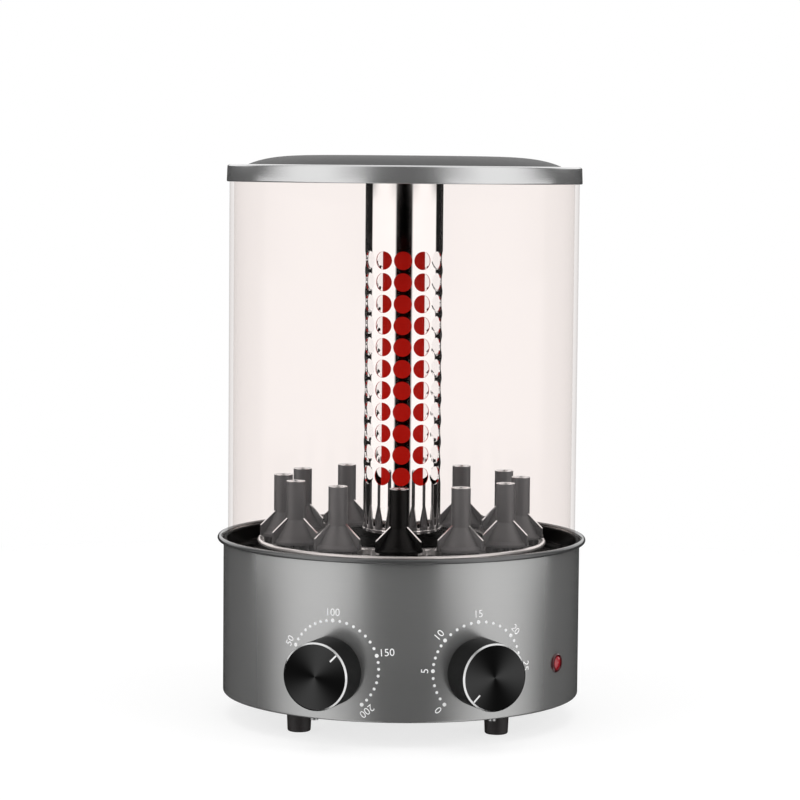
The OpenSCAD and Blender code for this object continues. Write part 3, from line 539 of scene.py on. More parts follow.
def curl(axis_r, axis_z, radius, start, end, steps=18):
    """Points along a rolled edge, from one angle to another in degrees."""
    points = []
    for i in range(steps + 1):
        angle = math.radians(start + (end - start) * i / steps)
        points.append((axis_r + radius * math.cos(angle), axis_z + radius * math.sin(angle)))
    return points


# Meshes

def smooth(mesh, angle=32):
    """Smooth shading with sharp edges past an angle in degrees."""
    mesh.shade_smooth()
    mesh.set_sharp_from_angle(angle=math.radians(angle))


def link(name, mesh, finishes):
    """A new object at the origin with its finishes."""
    for key in finishes:
        mesh.materials.append(FINISHES[key])
    piece = bpy.data.objects.new(name, mesh)
    bpy.context.scene.collection.objects.link(piece)
    return piece


def turned(outline, steps, marks=None, matrix=None):
    """Mesh of a closed outline turned round the Z axis. Marks give each side's finish."""
    shape = bmesh.new()
    rings = []
    for radius, height in outline:
        if radius < 1e-6:
            pole = shape.verts.new((0, 0, height))
            rings.append([pole] * steps)
            continue
        ring = []
        for i in range(steps):
            angle = 2 * math.pi * i / steps
            ring.append(shape.verts.new((radius * math.cos(angle), radius * math.sin(angle),
                                         height)))
        rings.append(ring)
    for i, ring in enumerate(rings):
        other = rings[(i + 1) % len(rings)]
        for j in range(steps):
            k = (j + 1) % steps
            corners = []
            for vert in (ring[j], ring[k], other[k], other[j]):
                if vert not in corners:
                    corners.append(vert)
            if len(corners) > 2:
                face = shape.faces.new(corners)
                face.material_index = marks[i] if marks else 0
    bmesh.ops.recalc_face_normals(shape, faces=shape.faces)
    mesh = bpy.data.meshes.new("turned")
    shape.to_mesh(mesh)
    shape.free()
    if matrix:
        mesh.transform(matrix)
    smooth(mesh)
    return mesh


def stand_in(name, mesh, finishes, body, *nodes):
    """A dressed piece that rides on a body and replaces its plain nodes."""
    piece = link(name, mesh, finishes)
    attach(piece, body)
    if nodes:
        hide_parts(*nodes)
    return piece


def dress(node, key):
    """Give a node of the frame a finish."""
    slots = NODES[node].material_slots
    if not slots:
        NODES[node].data.materials.append(FINISHES[key])
    for slot in slots:
        slot.link = "OBJECT"
        slot.material = FINISHES[key]


def settings():
    return bpy.context.scene.grill_sizes, bpy.context.scene.grill_colours


class Piece(bpy.types.Operator):
    """Base of the operators: builds, and raises if it can't."""

    bl_options = {"REGISTER", "UNDO"}

    def execute(self, context):
        self.build(*settings())
        return {"FINISHED"}


class GRILL_OT_finishes(Piece):
    """Make the materials and put them on the nodes that keep their shape"""

    bl_idname = "grill.finishes"
    bl_label = "Finishes"

    def build(self, sizes, colours):
        make_finishes(colours)
        plain = {
            "zinc": ["bottom_plate", "deck_plate", "deck_posts", "case_screws", "foot_screws",
                     "column_flange", "timer_body", "timer_bell", "panel_nuts", "motor_case",
                     "thermostat_spindle", "timer_spindle"],
            "polished": ["column_cap", "turntable_hub", "cup_pins", "hub_rivets", "sun_gear"],
            "nylon": ["thrust_washer", "lamp_holder", "terminal_block", "drive_gear",
                      "motor_pinion"],
            "ceramic": ["heater_end_lower", "heater_end_upper"],
            "phenolic": ["thermostat_body"],
            "glow": ["heater_core"],
            "knob": ["thermostat_knob", "timer_knob", "cord_gland"],
            "silicone": ["lid_gasket"],
            "bright": ["thermostat_pointer", "timer_pointer"],
        }
        for key, nodes in plain.items():
            for node in nodes:
                dress(node, key)


class GRILL_OT_housing(Piece):
    """Brushed housing with its rolled rim"""

    bl_idname = "grill.housing"
    bl_label = "Housing"

    def build(self, sizes, colours):
        wall = 0.8 * MM
        outer = reach("housing_shell")
        low, high = heights("housing_shell")
        bead = 1.8 * MM
        face = outer - 2 * bead - 0.4 * MM
        middle = face - wall / 2
        axis_r, axis_z = outer - bead, high - bead
        edge = [(middle - 8 * MM, low + wall / 2), (middle, low + wall / 2),
                (middle, axis_z - bead)]
        path = fillet(edge, [0, 1.2 * MM, 0], False)
        path += curl(axis_r, axis_z, bead - wall / 2, 180, -150)
        outline = strip(path, wall)
        marks = [0] * len(outline)
        # Painted shade: the curl's faces take the second finish, the darkened rim.
        first = len(path) - 19
        for i in range(first, len(outline) - first - 1):
            marks[i] = 1
        mesh = turned(outline, sizes.steps, marks)
        stand_in("housing", mesh, ["housing", "rim"], "base", "housing_shell")


class GRILL_OT_pan(Piece):
    """Black enamelled drip pan"""

    bl_idname = "grill.pan"
    bl_label = "Drip pan"

    def build(self, sizes, colours):
        wall = 1 * MM
        low, high = heights("drip_pan")
        hub = 29.94 * MM + wall / 2
        glass = reach("glass_cylinder")
        floor = low + wall / 2
        shelf = heights("glass_cylinder")[0] - 0.3 * MM - wall / 2
        riser = glass - 4.5 * MM
        side = glass + 1.1 * MM
        lip = reach("drip_pan")
        points = [(hub, floor + 6.5 * MM), (hub, floor), (riser, floor), (riser, shelf),
                  (side, shelf), (side, high - wall / 2), (lip, high - wall / 2)]
        radii = [0, 1.5 * MM, 1.2 * MM, 0.8 * MM, 0.8 * MM, 0.5 * MM, 0]
        mesh = turned(strip(fillet(points, radii, False), wall), sizes.steps)
        stand_in("pan", mesh, ["enamel"], "base", "drip_pan")


class GRILL_OT_turntable(Piece):
    """Polished turntable with its rolled rim"""

    bl_idname = "grill.turntable"
    bl_label = "Turntable"

    def build(self, sizes, colours):
        wall = 0.8 * MM
        outer = reach("turntable_plate")
        low, high = heights("turntable_plate")
        bead = 1.7 * MM
        floor = low + wall / 2
        axis_r, axis_z = outer - bead, high - bead
        inner = axis_r - bead + wall / 2
        points = [(reach("column_sleeve") + 3 * MM, floor), (inner - 0.3 * MM, floor),
                  (inner, axis_z - 0.5 * MM)]
        path = fillet(points, [0, 0.8 * MM, 0], False)
        path += curl(axis_r, axis_z, bead - wall / 2, 180, -160)
        mesh = turned(strip(path, wall), sizes.steps)
        stand_in("turntable", mesh, ["polished"], "turntable", "turntable_plate")


class GRILL_OT_column(Piece):
    """Chrome column with its drilled holes, ferrule and black foot ring"""

    bl_idname = "grill.column"
    bl_label = "Column"

    def build(self, sizes, colours):
        radius = reach("column_sleeve")
        low, high = heights("column_sleeve")
        self.sleeve(sizes, radius, low, high)
        ferrule_low, ferrule_high = heights("column_ferrule")
        outer = reach("column_ferrule")
        box = [(radius + 0.03 * MM, ferrule_low), (outer, ferrule_low), (outer, ferrule_high),
               (radius + 0.03 * MM, ferrule_high)]
        outline = fillet(box, [0, 0.1 * MM, 0.2 * MM, 0], True)
        stand_in("ferrule", turned(outline, 144), ["chrome"], "base", "column_ferrule")
        self.foot_ring(radius)

    def sleeve(self, sizes, radius, low, high):
        """Plain ends and a field of drilled holes between them."""
        wall = 0.8 * MM
        columns, rows, pitch, hole = 12, 11, sizes.hole_pitch, sizes.hole
        first = sizes.hole_low
        bottom = first - pitch / 2
        top = bottom + rows * pitch
        cell = drilled_cell(radius, wall, 2 * math.pi / columns, pitch, hole)
        field = repeat_cell(cell, columns, rows, pitch, first, REST - math.pi / 2)
        ends = []
        for start, end in ((low, bottom), (top, high)):
            box = [(radius - wall, start), (radius, start), (radius, end), (radius - wall, end)]
            ends.append(turned(box, 144, matrix=Matrix.Rotation(REST, 4, "Z")))
        mesh = joined([field] + ends)
        open_seams(mesh, (bottom, top))
        radial_normals(mesh)
        stand_in("column", mesh, ["chrome"], "base", "column_sleeve")

    def foot_ring(self, radius):
        low, high = heights("column_base_ring")
        outer = reach("column_base_ring")
        inner = radius + 0.05 * MM
        neck = radius + 3.6 * MM
        step = low + 1.1 * MM
        slope = (step + high) / 2
        points = [(inner, low), (outer, low), (outer, step), (outer - 3.6 * MM, step),
                  (neck, slope), (neck, high), (inner, high)]
        radii = [0, 0.3 * MM, 0.5 * MM, 1.5 * MM, 0.5 * MM, 0.6 * MM, 0]
        mesh = turned(fillet(points, radii, True), 144)
        stand_in("foot_ring", mesh, ["foot"], "base", "column_base_ring")


def drilled_cell(radius, wall, sweep, pitch, hole):
    """One cell of the sleeve, with a hole drilled straight through towards the axis."""
    side = 12
    border = []
    for start, end in (((1, -1), (1, 1)), ((1, 1), (-1, 1)), ((-1, 1), (-1, -1)),
                       ((-1, -1), (1, -1))):
        for i in range(side):
            t = i / side
            border.append((start[0] + (end[0] - start[0]) * t, start[1] + (end[1] - start[1]) * t))
    shape = bmesh.new()

    def ring(at, share):
        verts = []
        for u, v in border:
            angle = math.atan2(v * pitch, u * sweep * radius)
            y, z = hole * math.cos(angle), hole * math.sin(angle)
            turn = math.asin(y / at) * (1 - share) + u * sweep / 2 * share
            height = z * (1 - share) + v * pitch / 2 * share
            verts.append(shape.verts.new((at * math.cos(turn), at * math.sin(turn), height)))
        return verts

    loops = [ring(radius, share) for share in (1, 0.4, 0)]
    loops += [ring(radius - wall, share) for share in (0, 0.4, 1)]
    for outer, inner in zip(loops, loops[1:]):
        for i in range(len(border)):
            k = (i + 1) % len(border)
            shape.faces.new((outer[i], outer[k], inner[k], inner[i]))
    bmesh.ops.recalc_face_normals(shape, faces=shape.faces)
    mesh = bpy.data.meshes.new("drilled cell")
    shape.to_mesh(mesh)
    shape.free()
    return mesh


class Tree(Maker):
    """A geometry tree with named inputs, used on one carrier object."""

    def __init__(self, name, inputs):
        group = bpy.data.node_groups.new(name, "GeometryNodeTree")
        group.interface.new_socket("Geometry", in_out="OUTPUT", socket_type="NodeSocketGeometry")
        self.ids = {}
        for label, kind in inputs.items():
            socket = group.interface.new_socket(label, in_out="INPUT", socket_type=kind)
            self.ids[label] = socket.identifier
        super().__init__(group)
        self.given = self.node("NodeGroupInput")

    def result(self, geometry, values, material):
        """Mesh of the tree's geometry with these inputs."""
        real = self.node("GeometryNodeRealizeInstances", {0: geometry})[0]
        painted = self.node("GeometryNodeSetMaterial", {0: real, "Material": material})[0]
        self.node("NodeGroupOutput", {0: painted})
        carrier = bpy.data.objects.new("carrier", bpy.data.meshes.new("carrier"))
        bpy.context.scene.collection.objects.link(carrier)
        modifier = carrier.modifiers.new("pattern", "NODES")
        modifier.node_group = self.tree
        for label, value in values.items():
            modifier[self.ids[label]] = value
        shown = carrier.evaluated_get(bpy.context.evaluated_depsgraph_get())
        mesh = bpy.data.meshes.new_from_object(shown)
        bpy.data.objects.remove(carrier)
        return mesh


def repeat_cell(cell, columns, rows, pitch, first, turn):
    """The cell repeated round and up the column by a geometry tree."""
    source = bpy.data.objects.new("cell", cell)
    bpy.context.scene.collection.objects.link(source)
    tree = Tree("Drilled sleeve", {
        "Cell": "NodeSocketObject", "Columns": "NodeSocketInt", "Rows": "NodeSocketInt",
        "Pitch": "NodeSocketFloat", "First row": "NodeSocketFloat", "Turn": "NodeSocketFloat"})
    given = tree.given
    index = tree.node("GeometryNodeInputIndex")[0]
    row = (index / given["Columns"] + 0.0001).math("FLOOR")
    column = index - row * given["Columns"]
    angle = column * (2 * math.pi) / given["Columns"] + given["Turn"]
    points = tree.node("GeometryNodePoints", {
        "Count": given["Columns"] * given["Rows"],
        "Position": tree.vector(0.0, 0.0, given["First row"] + row * given["Pitch"])})[0]
    shape = tree.node("GeometryNodeObjectInfo", {"Object": given["Cell"]})["Geometry"]
    spread = tree.node("GeometryNodeInstanceOnPoints", {
        "Points": points, "Instance": shape, "Rotation": tree.vector(0.0, 0.0, angle)})[0]
    mesh = tree.result(spread, {"Cell": source, "Columns": columns, "Rows": rows,
                                "Pitch": pitch, "First row": first, "Turn": turn},
                       FINISHES["chrome"])
    bpy.data.objects.remove(source)
    return mesh


def joined(meshes):
    """One mesh of several, their doubles merged."""
    shape = bmesh.new()
    for mesh in meshes:
        shape.from_mesh(mesh)
    bmesh.ops.remove_doubles(shape, verts=shape.verts, dist=0.01 * MM)
    for face in shape.faces:
        face.material_index = 0
    result = bpy.data.meshes.new("joined")
    shape.to_mesh(result)
    shape.free()
    return result


def open_seams(mesh, levels):
    """Take out the flat faces left at these heights, where parts of a tube meet."""
    shape = bmesh.new()
    shape.from_mesh(mesh)
    flat = [face for face in shape.faces
            if any(all(abs(vert.co.z - level) < 0.01 * MM for vert in face.verts)
                   for level in levels)]
    bmesh.ops.delete(shape, geom=flat, context="FACES_ONLY")
    shape.to_mesh(mesh)
    shape.free()


def radial_normals(mesh):
    """Exact normals on the round walls of a tube on the centre axis."""
    mesh.shade_smooth()
    mesh.set_sharp_from_angle(angle=math.radians(40))
    normals = [Vector((0, 0, 0))] * len(mesh.loops)
    for face in mesh.polygons:
        for loop in face.loop_indices:
            place = mesh.vertices[mesh.loops[loop].vertex_index].co
            arm = Vector((place.x, place.y, 0)).normalized()
            lean = face.normal.dot(arm)
            if abs(lean) > 0.93:
                normals[loop] = arm if lean > 0 else -arm
    mesh.normals_split_custom_set(normals)


class GRILL_OT_heater(Piece):
    """Glowing quartz tube"""

    bl_idname = "grill.heater"
    bl_label = "Heater"

    def build(self, sizes, colours):
        outer = reach("heater_tube")
        low, high = heights("heater_tube")
        inner = outer - 1.5 * MM
        box = [(inner, low), (outer, low), (outer, high), (inner, high)]
        outline = fillet(box, [0.3 * MM] * 4, True)
        stand_in("quartz_tube", turned(outline, 96), ["glow"], "base", "heater_tube")


class GRILL_OT_glass(Piece):
    """Clear glass cylinder with polished ends"""

    bl_idname = "grill.glass"
    bl_label = "Glass"

    def build(self, sizes, colours):
        outer = reach("glass_cylinder")
        low, high = heights("glass_cylinder")
        inner = outer - 3 * MM
        box = [(inner, low), (outer, low), (outer, high), (inner, high)]
        outline = fillet(box, [0.9 * MM] * 4, True)
        marks = [0] * len(outline)
        marks[-1] = 1
        mesh = turned(outline, sizes.steps, marks)
        stand_in("glass", mesh, ["glass", "glass_inside"], "glass", "glass_cylinder")


class GRILL_OT_lid(Piece):
    """Silver band of the lid, and its grey ring and flat-topped dome"""

    bl_idname = "grill.lid"
    bl_label = "Lid"

    def build(self, sizes, colours):
        wall = 1.2 * MM
        low, high = heights("lid_rim")
        self.band(sizes, wall, low, high)
        self.top(sizes, wall, high)

    def band(self, sizes, wall, low, high):
        """Hoop with a small bead at its foot and a rounded shoulder that turns in on top."""
        side = reach("lid_rim") - wall / 2
        inner = reach("lid_dome") + wall / 2
        top = high - wall / 2
        points = [(side - 0.3 * MM, low + wall / 2), (side, low + wall / 2),
                  (side - 0.4 * MM, top - 0.4 * MM), (side - 1.4 * MM, top), (inner, top)]
        radii = [0, 0.3 * MM, 0.8 * MM, 0.6 * MM, 0]
        mesh = turned(strip(fillet(points, radii, False), wall), sizes.steps)
        stand_in("lid_band", mesh, ["lid"], "lid", "lid_rim")

    def top(self, sizes, wall, high):
        """Flat ring inside the band and the dome that rises from it."""
        outer = reach("lid_dome")
        dome, rise = outer - 8.6 * MM, heights("lid_dome")[1] - high
        arc = []
        for i in range(33):
            share = math.sin(math.pi / 2 * i / 32)
            arc.append((dome * share, high + rise * (1 - share ** 7)))
        outline = arc + [(dome + 0.8 * MM, high), (outer, high), (outer, high - wall)]
        outline += [(r, z - wall) for r, z in arc[::-1]]
        mesh = turned(outline, sizes.steps)
        stand_in("lid_top", mesh, ["dome"], "lid", "lid_dome")


class GRILL_OT_cups(Piece):
    """Skewer cups with their gears and bright-edged fins"""

    bl_idname = "grill.cups"
    bl_label = "Cups"

    def build(self, sizes, colours):
        turn = Matrix.Rotation(REST, 4, "Z")
        for name in CUPS:
            low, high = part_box(name)
            centre = Vector(JOINTS[name + "_spin"]["pos_m"])
            matrix = Matrix.Translation((centre.x, centre.y, 0)) @ turn
            mesh = self.cup(low.z, high.z, math.hypot(centre.x, centre.y) / 42)
            mesh.transform(matrix)
            # Painted shade: the first cup, which stands at the front, takes the darker copy of the
            # satin.
            key = "front_cup" if name == CUPS[0] else "cup"
            stand_in(name + "_dressed", mesh, [key, "bright"], name + "_body", name)

    def cup(self, low, high, module):
        """Gear, skirt, cone and tube, with three fins."""
        tube, socket, skirt, cone = 6.2 * MM, 3.2 * MM, 15.4 * MM, 12.2 * MM
        core, floor = 7 * MM, low + 4 * MM
        points = [(3.06 * MM, low), (core, low), (core, floor), (skirt, floor),
                  (skirt, floor + 2 * MM), (cone + 1 * MM, floor + 3.9 * MM),
                  (cone, low + 9.8 * MM), (tube, low + 19.5 * MM), (tube, high),
                  (socket, high), (socket, high - 28 * MM), (0, high - 28 * MM),
                  (0, low + 13 * MM), (3.06 * MM, low + 13 * MM)]
        radii = [0, 0, 0, 0.5 * MM, 1 * MM, 1.2 * MM, 1.2 * MM, 1.5 * MM, 0.4 * MM, 0.6 * MM,
                 0, 0, 0, 0]
        outline = fillet(points, radii, True)
        marks = [1 if z > high - 0.45 * MM else 0 for r, z in outline]
        body = turned(outline, 64, marks)
        shape = bmesh.new()
        shape.from_mesh(body)
        self.gear(shape, core, low, floor, module)
        for i in range(3):
            turn = Matrix.Rotation(math.pi / 2 + i * math.pi * 2 / 3, 4, "Z")
            self.fin(shape, turn, low, floor, tube)
        mesh = bpy.data.meshes.new("cup")
        shape.to_mesh(mesh)
        shape.free()
        smooth(mesh)
        return mesh

    def gear(self, shape, core, low, high, module):
        """Ring of twelve involute teeth round the cup's foot."""
        outline = gear_outline(12, module)
        loops = []
        for z in (low, high):
            for squeeze in (False, True):
                loop = []
                for angle, radius in outline:
                    r = core if squeeze else radius
                    spot = angle + math.pi / 12
                    loop.append(shape.verts.new((r * math.cos(spot), r * math.sin(spot), z)))
                loops.append(loop)
        low_out, low_in, high_out, high_in = loops
        fresh = []
        for i in range(len(outline)):
            k = (i + 1) % len(outline)
            fresh.append(shape.faces.new((low_in[i], low_in[k], low_out[k], low_out[i])))
            fresh.append(shape.faces.new((low_out[i], low_out[k], high_out[k], high_out[i])))
            fresh.append(shape.faces.new((high_out[i], high_out[k], high_in[k], high_in[i])))
            fresh.append(shape.faces.new((high_in[i], high_in[k], low_in[k], low_in[i])))
        bmesh.ops.recalc_face_normals(shape, faces=fresh)

    def fin(self, shape, matrix, low, floor, tube):
        """A thin upright plate with a bright sloping edge and rounded corners."""
        reach_out, half = 16.6 * MM, 0.8 * MM
        points = [(tube - 1 * MM, floor + 1 * MM), (reach_out, floor + 1 * MM),
                  (reach_out, low + 11.7 * MM), (tube, low + 20.6 * MM),
                  (tube - 1 * MM, low + 20.6 * MM)]
        outline = fillet(points, [0, 0, 0.7 * MM, 0.6 * MM, 0], True, 4)
        sides = []
        for y in (-half, half):
            sides.append([shape.verts.new(matrix @ Vector((x, y, z))) for x, z in outline])
        shape.faces.new(sides[0][::-1]).material_index = 0
        shape.faces.new(sides[1]).material_index = 0
        count = len(outline)
        for i in range(count):
            k = (i + 1) % count
            face = shape.faces.new((sides[0][i], sides[0][k], sides[1][k], sides[1][i]))
            top = min(outline[i][1], outline[k][1]) > low + 11 * MM
            face.material_index = 1 if top and outline[i][0] > tube - 0.2 * MM else 0
        fresh = [f for f in shape.faces if all(v in sides[0] or v in sides[1] for v in f.verts)]
        bmesh.ops.recalc_face_normals(shape, faces=fresh)


def gear_outline(teeth, module):
    """Angle and radius of each corner round an involute gear whose teeth are thinned a little."""
    pressure = math.radians(25)
    pitch = teeth * module / 2
    base, root, tip = pitch * math.cos(pressure), pitch - 1.05 * module, pitch + 0.8 * module

    def involute(angle):
        return math.tan(angle) - angle

    def half(radius):
        thick = math.pi / (2 * teeth) - 0.15 * MM / pitch
        return thick + involute(pressure) - involute(math.acos(min(1, base / radius)))

    start = max(base, root)
    flank = [(half(base), root)] if root < base else []
    for i in range(5):
        radius = start + (tip - start) * i / 4
        flank.append((half(radius), radius))
    corners = []
    for tooth in range(teeth):
        middle = 2 * math.pi * tooth / teeth
        corners += [(middle - angle, radius) for angle, radius in flank]
        corners += [(middle + angle, radius) for angle, radius in flank[::-1]]
    return corners


class GRILL_OT_knobs(Piece):
    """Face discs of the knobs, with their bright chamfers"""

    bl_idname = "grill.knobs"
    bl_label = "Knobs"

    def build(self, sizes, colours):
        # Axis angle of each knob face's painted highlight cones.
        for body, cone in (("thermostat", 15), ("timer", 78)):
            matrix = dial_frame(body)
            key = body + "_face"
            FINISHES[key] = knob_face_with_painted_cones(key, colours.face, matrix, math.radians(cone))
            radius, face, chamfer = 21.5 * MM, 27 * MM, 1 * MM
            points = [(0, face - 1.2 * MM), (radius, face - 1.2 * MM), (radius, face - chamfer),
                      (radius - chamfer, face), (0, face)]
            marks = [1, 1, 2, 0, 0]
            mesh = turned(points, 128, marks, matrix)
            stand_in(body + "_disc", mesh, [key, "knob", "bright"], body, body + "_cap")
            self.side(body, matrix, radius, face - 1.2 * MM)

    def side(self, body, matrix, radius, top):
        """Moulded side of the knob, open at the back."""
        back, wall = 3 * MM, 2.2 * MM
        points = [(3.02 * MM, 6 * MM), (6.5 * MM, 6 * MM), (6.5 * MM, top - 2.4 * MM),
                  (radius - wall, top - 2.4 * MM), (radius - wall, back), (radius, back),
                  (radius, top), (0, top), (0, top - 1 * MM), (3.02 * MM, top - 1 * MM)]
        radii = [0, 0, 0, 1 * MM, 0.4 * MM, 0.6 * MM, 0, 0, 0, 0]
        mesh = turned(fillet(points, radii, True), 128, None, matrix)
        stand_in(body + "_side", mesh, ["knob"], body, body + "_knob")


class GRILL_OT_dials(Piece):
    """Printed dots and numbers round the knobs"""

    bl_idname = "grill.dials"
    bl_label = "Dials"

    def build(self, sizes, colours):
        shell = reach("housing_shell") - 4 * MM
        timer = [(-131, "0"), (-88, "5"), (-49, "10"), (-2, "15"), (48, "20"), (90, "25"),
                 (128, "")]
        heat = [(-66, "50"), (-1, "100"), (73, "150"), (140, "200")]
        self.dial("timer", timer, 5, 31 * MM, (2.2 * MM, 0), sizes, shell)
        self.dial("thermostat", heat, 8, 29.6 * MM, (1 * MM, 2 * MM), sizes, shell)

    def dial(self, body, numbers, steps, ring, shift, sizes, shell):
        """A ring of dots with its numbers; the shift is its centre's place from the knob's."""
        matrix = dial_frame(body)
        meshes = []
        for (start, text), (end, after) in zip(numbers, numbers[1:]):
            meshes.append(ring_of_dots(steps, start, (end - start) / steps, ring, sizes))
        meshes.append(ring_of_dots(1, numbers[-1][0], 0, ring, sizes))
        for degrees, text in numbers:
            lean = -4 if text == "150" else degrees
            if text:
                meshes.append(number(text, degrees, lean, ring, sizes))
        mesh = joined(meshes)
        mesh.transform(Matrix.Translation((*shift, 0)))
        wrap(mesh, matrix, shell + 0.04 * MM)
        piece = link(body + "_dial", mesh, ["print"])
        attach(piece, "base")


def ring_of_dots(count, first, pitch, ring, sizes):
    """Part of a ring of dots, the first of them larger, made by a geometry tree."""
    tree = Tree("Dial dots", {
        "Count": "NodeSocketInt", "First": "NodeSocketFloat", "Pitch": "NodeSocketFloat",
        "Ring": "NodeSocketFloat", "Dot": "NodeSocketFloat", "Numbered dot": "NodeSocketFloat"})
    given = tree.given
    index = tree.node("GeometryNodeInputIndex")[0]
    angle = given["First"] + index * given["Pitch"]
    place = tree.vector(given["Ring"] * angle.math("SINE"), given["Ring"] * angle.math("COSINE"),
                        0.0)
    points = tree.node("GeometryNodePoints", {"Count": given["Count"], "Position": place})[0]
    disc = tree.node("GeometryNodeMeshCircle", {"Vertices": 20, "Radius": 1.0},
                     fill_type="NGON")[0]
    plain = index.math("MINIMUM", 1.0)
    size = given["Dot"] * plain + given["Numbered dot"] * (1 - plain)
    spread = tree.node("GeometryNodeInstanceOnPoints", {
        "Points": points, "Instance": disc, "Scale": size})[0]
    return tree.result(spread, {
        "Count": count, "First": math.radians(first), "Pitch": math.radians(pitch),
        "Ring": ring, "Dot": sizes.small_dot, "Numbered dot": sizes.big_dot}, FINISHES["print"])


def number(text, degrees, lean, ring, sizes):
    """A printed number at one clockwise angle from the top, turned by another."""
    curve = bpy.data.curves.new("number", "FONT")
    curve.body = text
    curve.size = sizes.digit
    curve.align_x = "CENTER"
    curve.align_y = "CENTER"
    holder = bpy.data.objects.new("number", curve)
    bpy.context.scene.collection.objects.link(holder)
    shown = holder.evaluated_get(bpy.context.evaluated_depsgraph_get())
    mesh = bpy.data.meshes.new_from_object(shown)
    bpy.data.objects.remove(holder)
    width = max(vert.co.x for vert in mesh.vertices)
    out = ring + sizes.number_gap + (width - 3.2 * MM if lean != degrees else 0)
    place = Vector((out * math.sin(math.radians(degrees)), out * math.cos(math.radians(degrees)),
                    0))
    mesh.transform(Matrix.Translation(place) @ Matrix.Rotation(math.radians(-lean), 4, "Z"))
    return mesh


def wrap(mesh, matrix, radius):
    """Lay a flat print on the round housing, keeping its lengths."""
    centre = matrix.translation
    middle = math.atan2(centre.y, centre.x)
    for vert in mesh.vertices:
        angle = middle + vert.co.x / radius
        vert.co = (radius * math.cos(angle), radius * math.sin(angle), centre.z + vert.co.y)


class GRILL_OT_lamp(Piece):
    """Indicator lamp's red lens in its dark rim"""

    bl_idname = "grill.lamp"
    bl_label = "Lamp"

    def build(self, sizes, colours):
        low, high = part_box("lamp_lens")
        centre = (low + high) / 2
        out = Vector((centre.x, centre.y, 0)).normalized()
        up = Vector((0, 0, 1))
        turn = Matrix((up.cross(out), up, out)).transposed().to_4x4()
        face = reach("housing_shell") - 4 * MM
        matrix = Matrix.Translation(out * face + Vector((0, 0, centre.z))) @ turn
        rim = 6 * MM
        points = [(0, -9.6 * MM), (4.5 * MM, -9.6 * MM), (4.5 * MM, 0), (rim, 0),
                  (rim, 1 * MM), (rim - 0.5 * MM, 1.5 * MM), (rim - 1.3 * MM, 1.5 * MM)]
        for i in range(9):
            share = math.cos(math.pi / 2 * i / 8)
            ripple = 0.18 * MM * (i % 2)
            points.append((4.5 * MM * share, 1.1 * MM + 1.6 * MM * (1 - share ** 2) - ripple))
        marks = [1 if i < 7 else 0 for i in range(len(points))]
        mesh = turned(points, 48, marks, matrix)
        stand_in("lens", mesh, ["lamp", "lamp_rim"], "base", "lamp_lens")


class GRILL_OT_feet(Piece):
    """Four rubber feet, hollow where their screws sit"""

    bl_idname = "grill.feet"
    bl_label = "Feet"

    def build(self, sizes, colours):
        low, high = heights("feet")
        head = high / 2
        points = [(2.1 * MM, high), (8.2 * MM, high), (7.5 * MM, low), (3.6 * MM, low),
                  (3.6 * MM, head), (2.1 * MM, head)]
        outline = fillet(points, [0, 0.4 * MM, 1.5 * MM, 0.4 * MM, 0, 0], True)
        meshes = []
        for i in range(4):
            angle = math.radians(45 + 90 * i) + REST
            place = Vector((90 * MM * math.cos(angle), 90 * MM * math.sin(angle), 0))
            meshes.append(turned(outline, 64, matrix=Matrix.Translation(place)))
        mesh = joined(meshes)
        smooth(mesh)
        stand_in("rubber_feet", mesh, ["rubber"], "base", "feet")


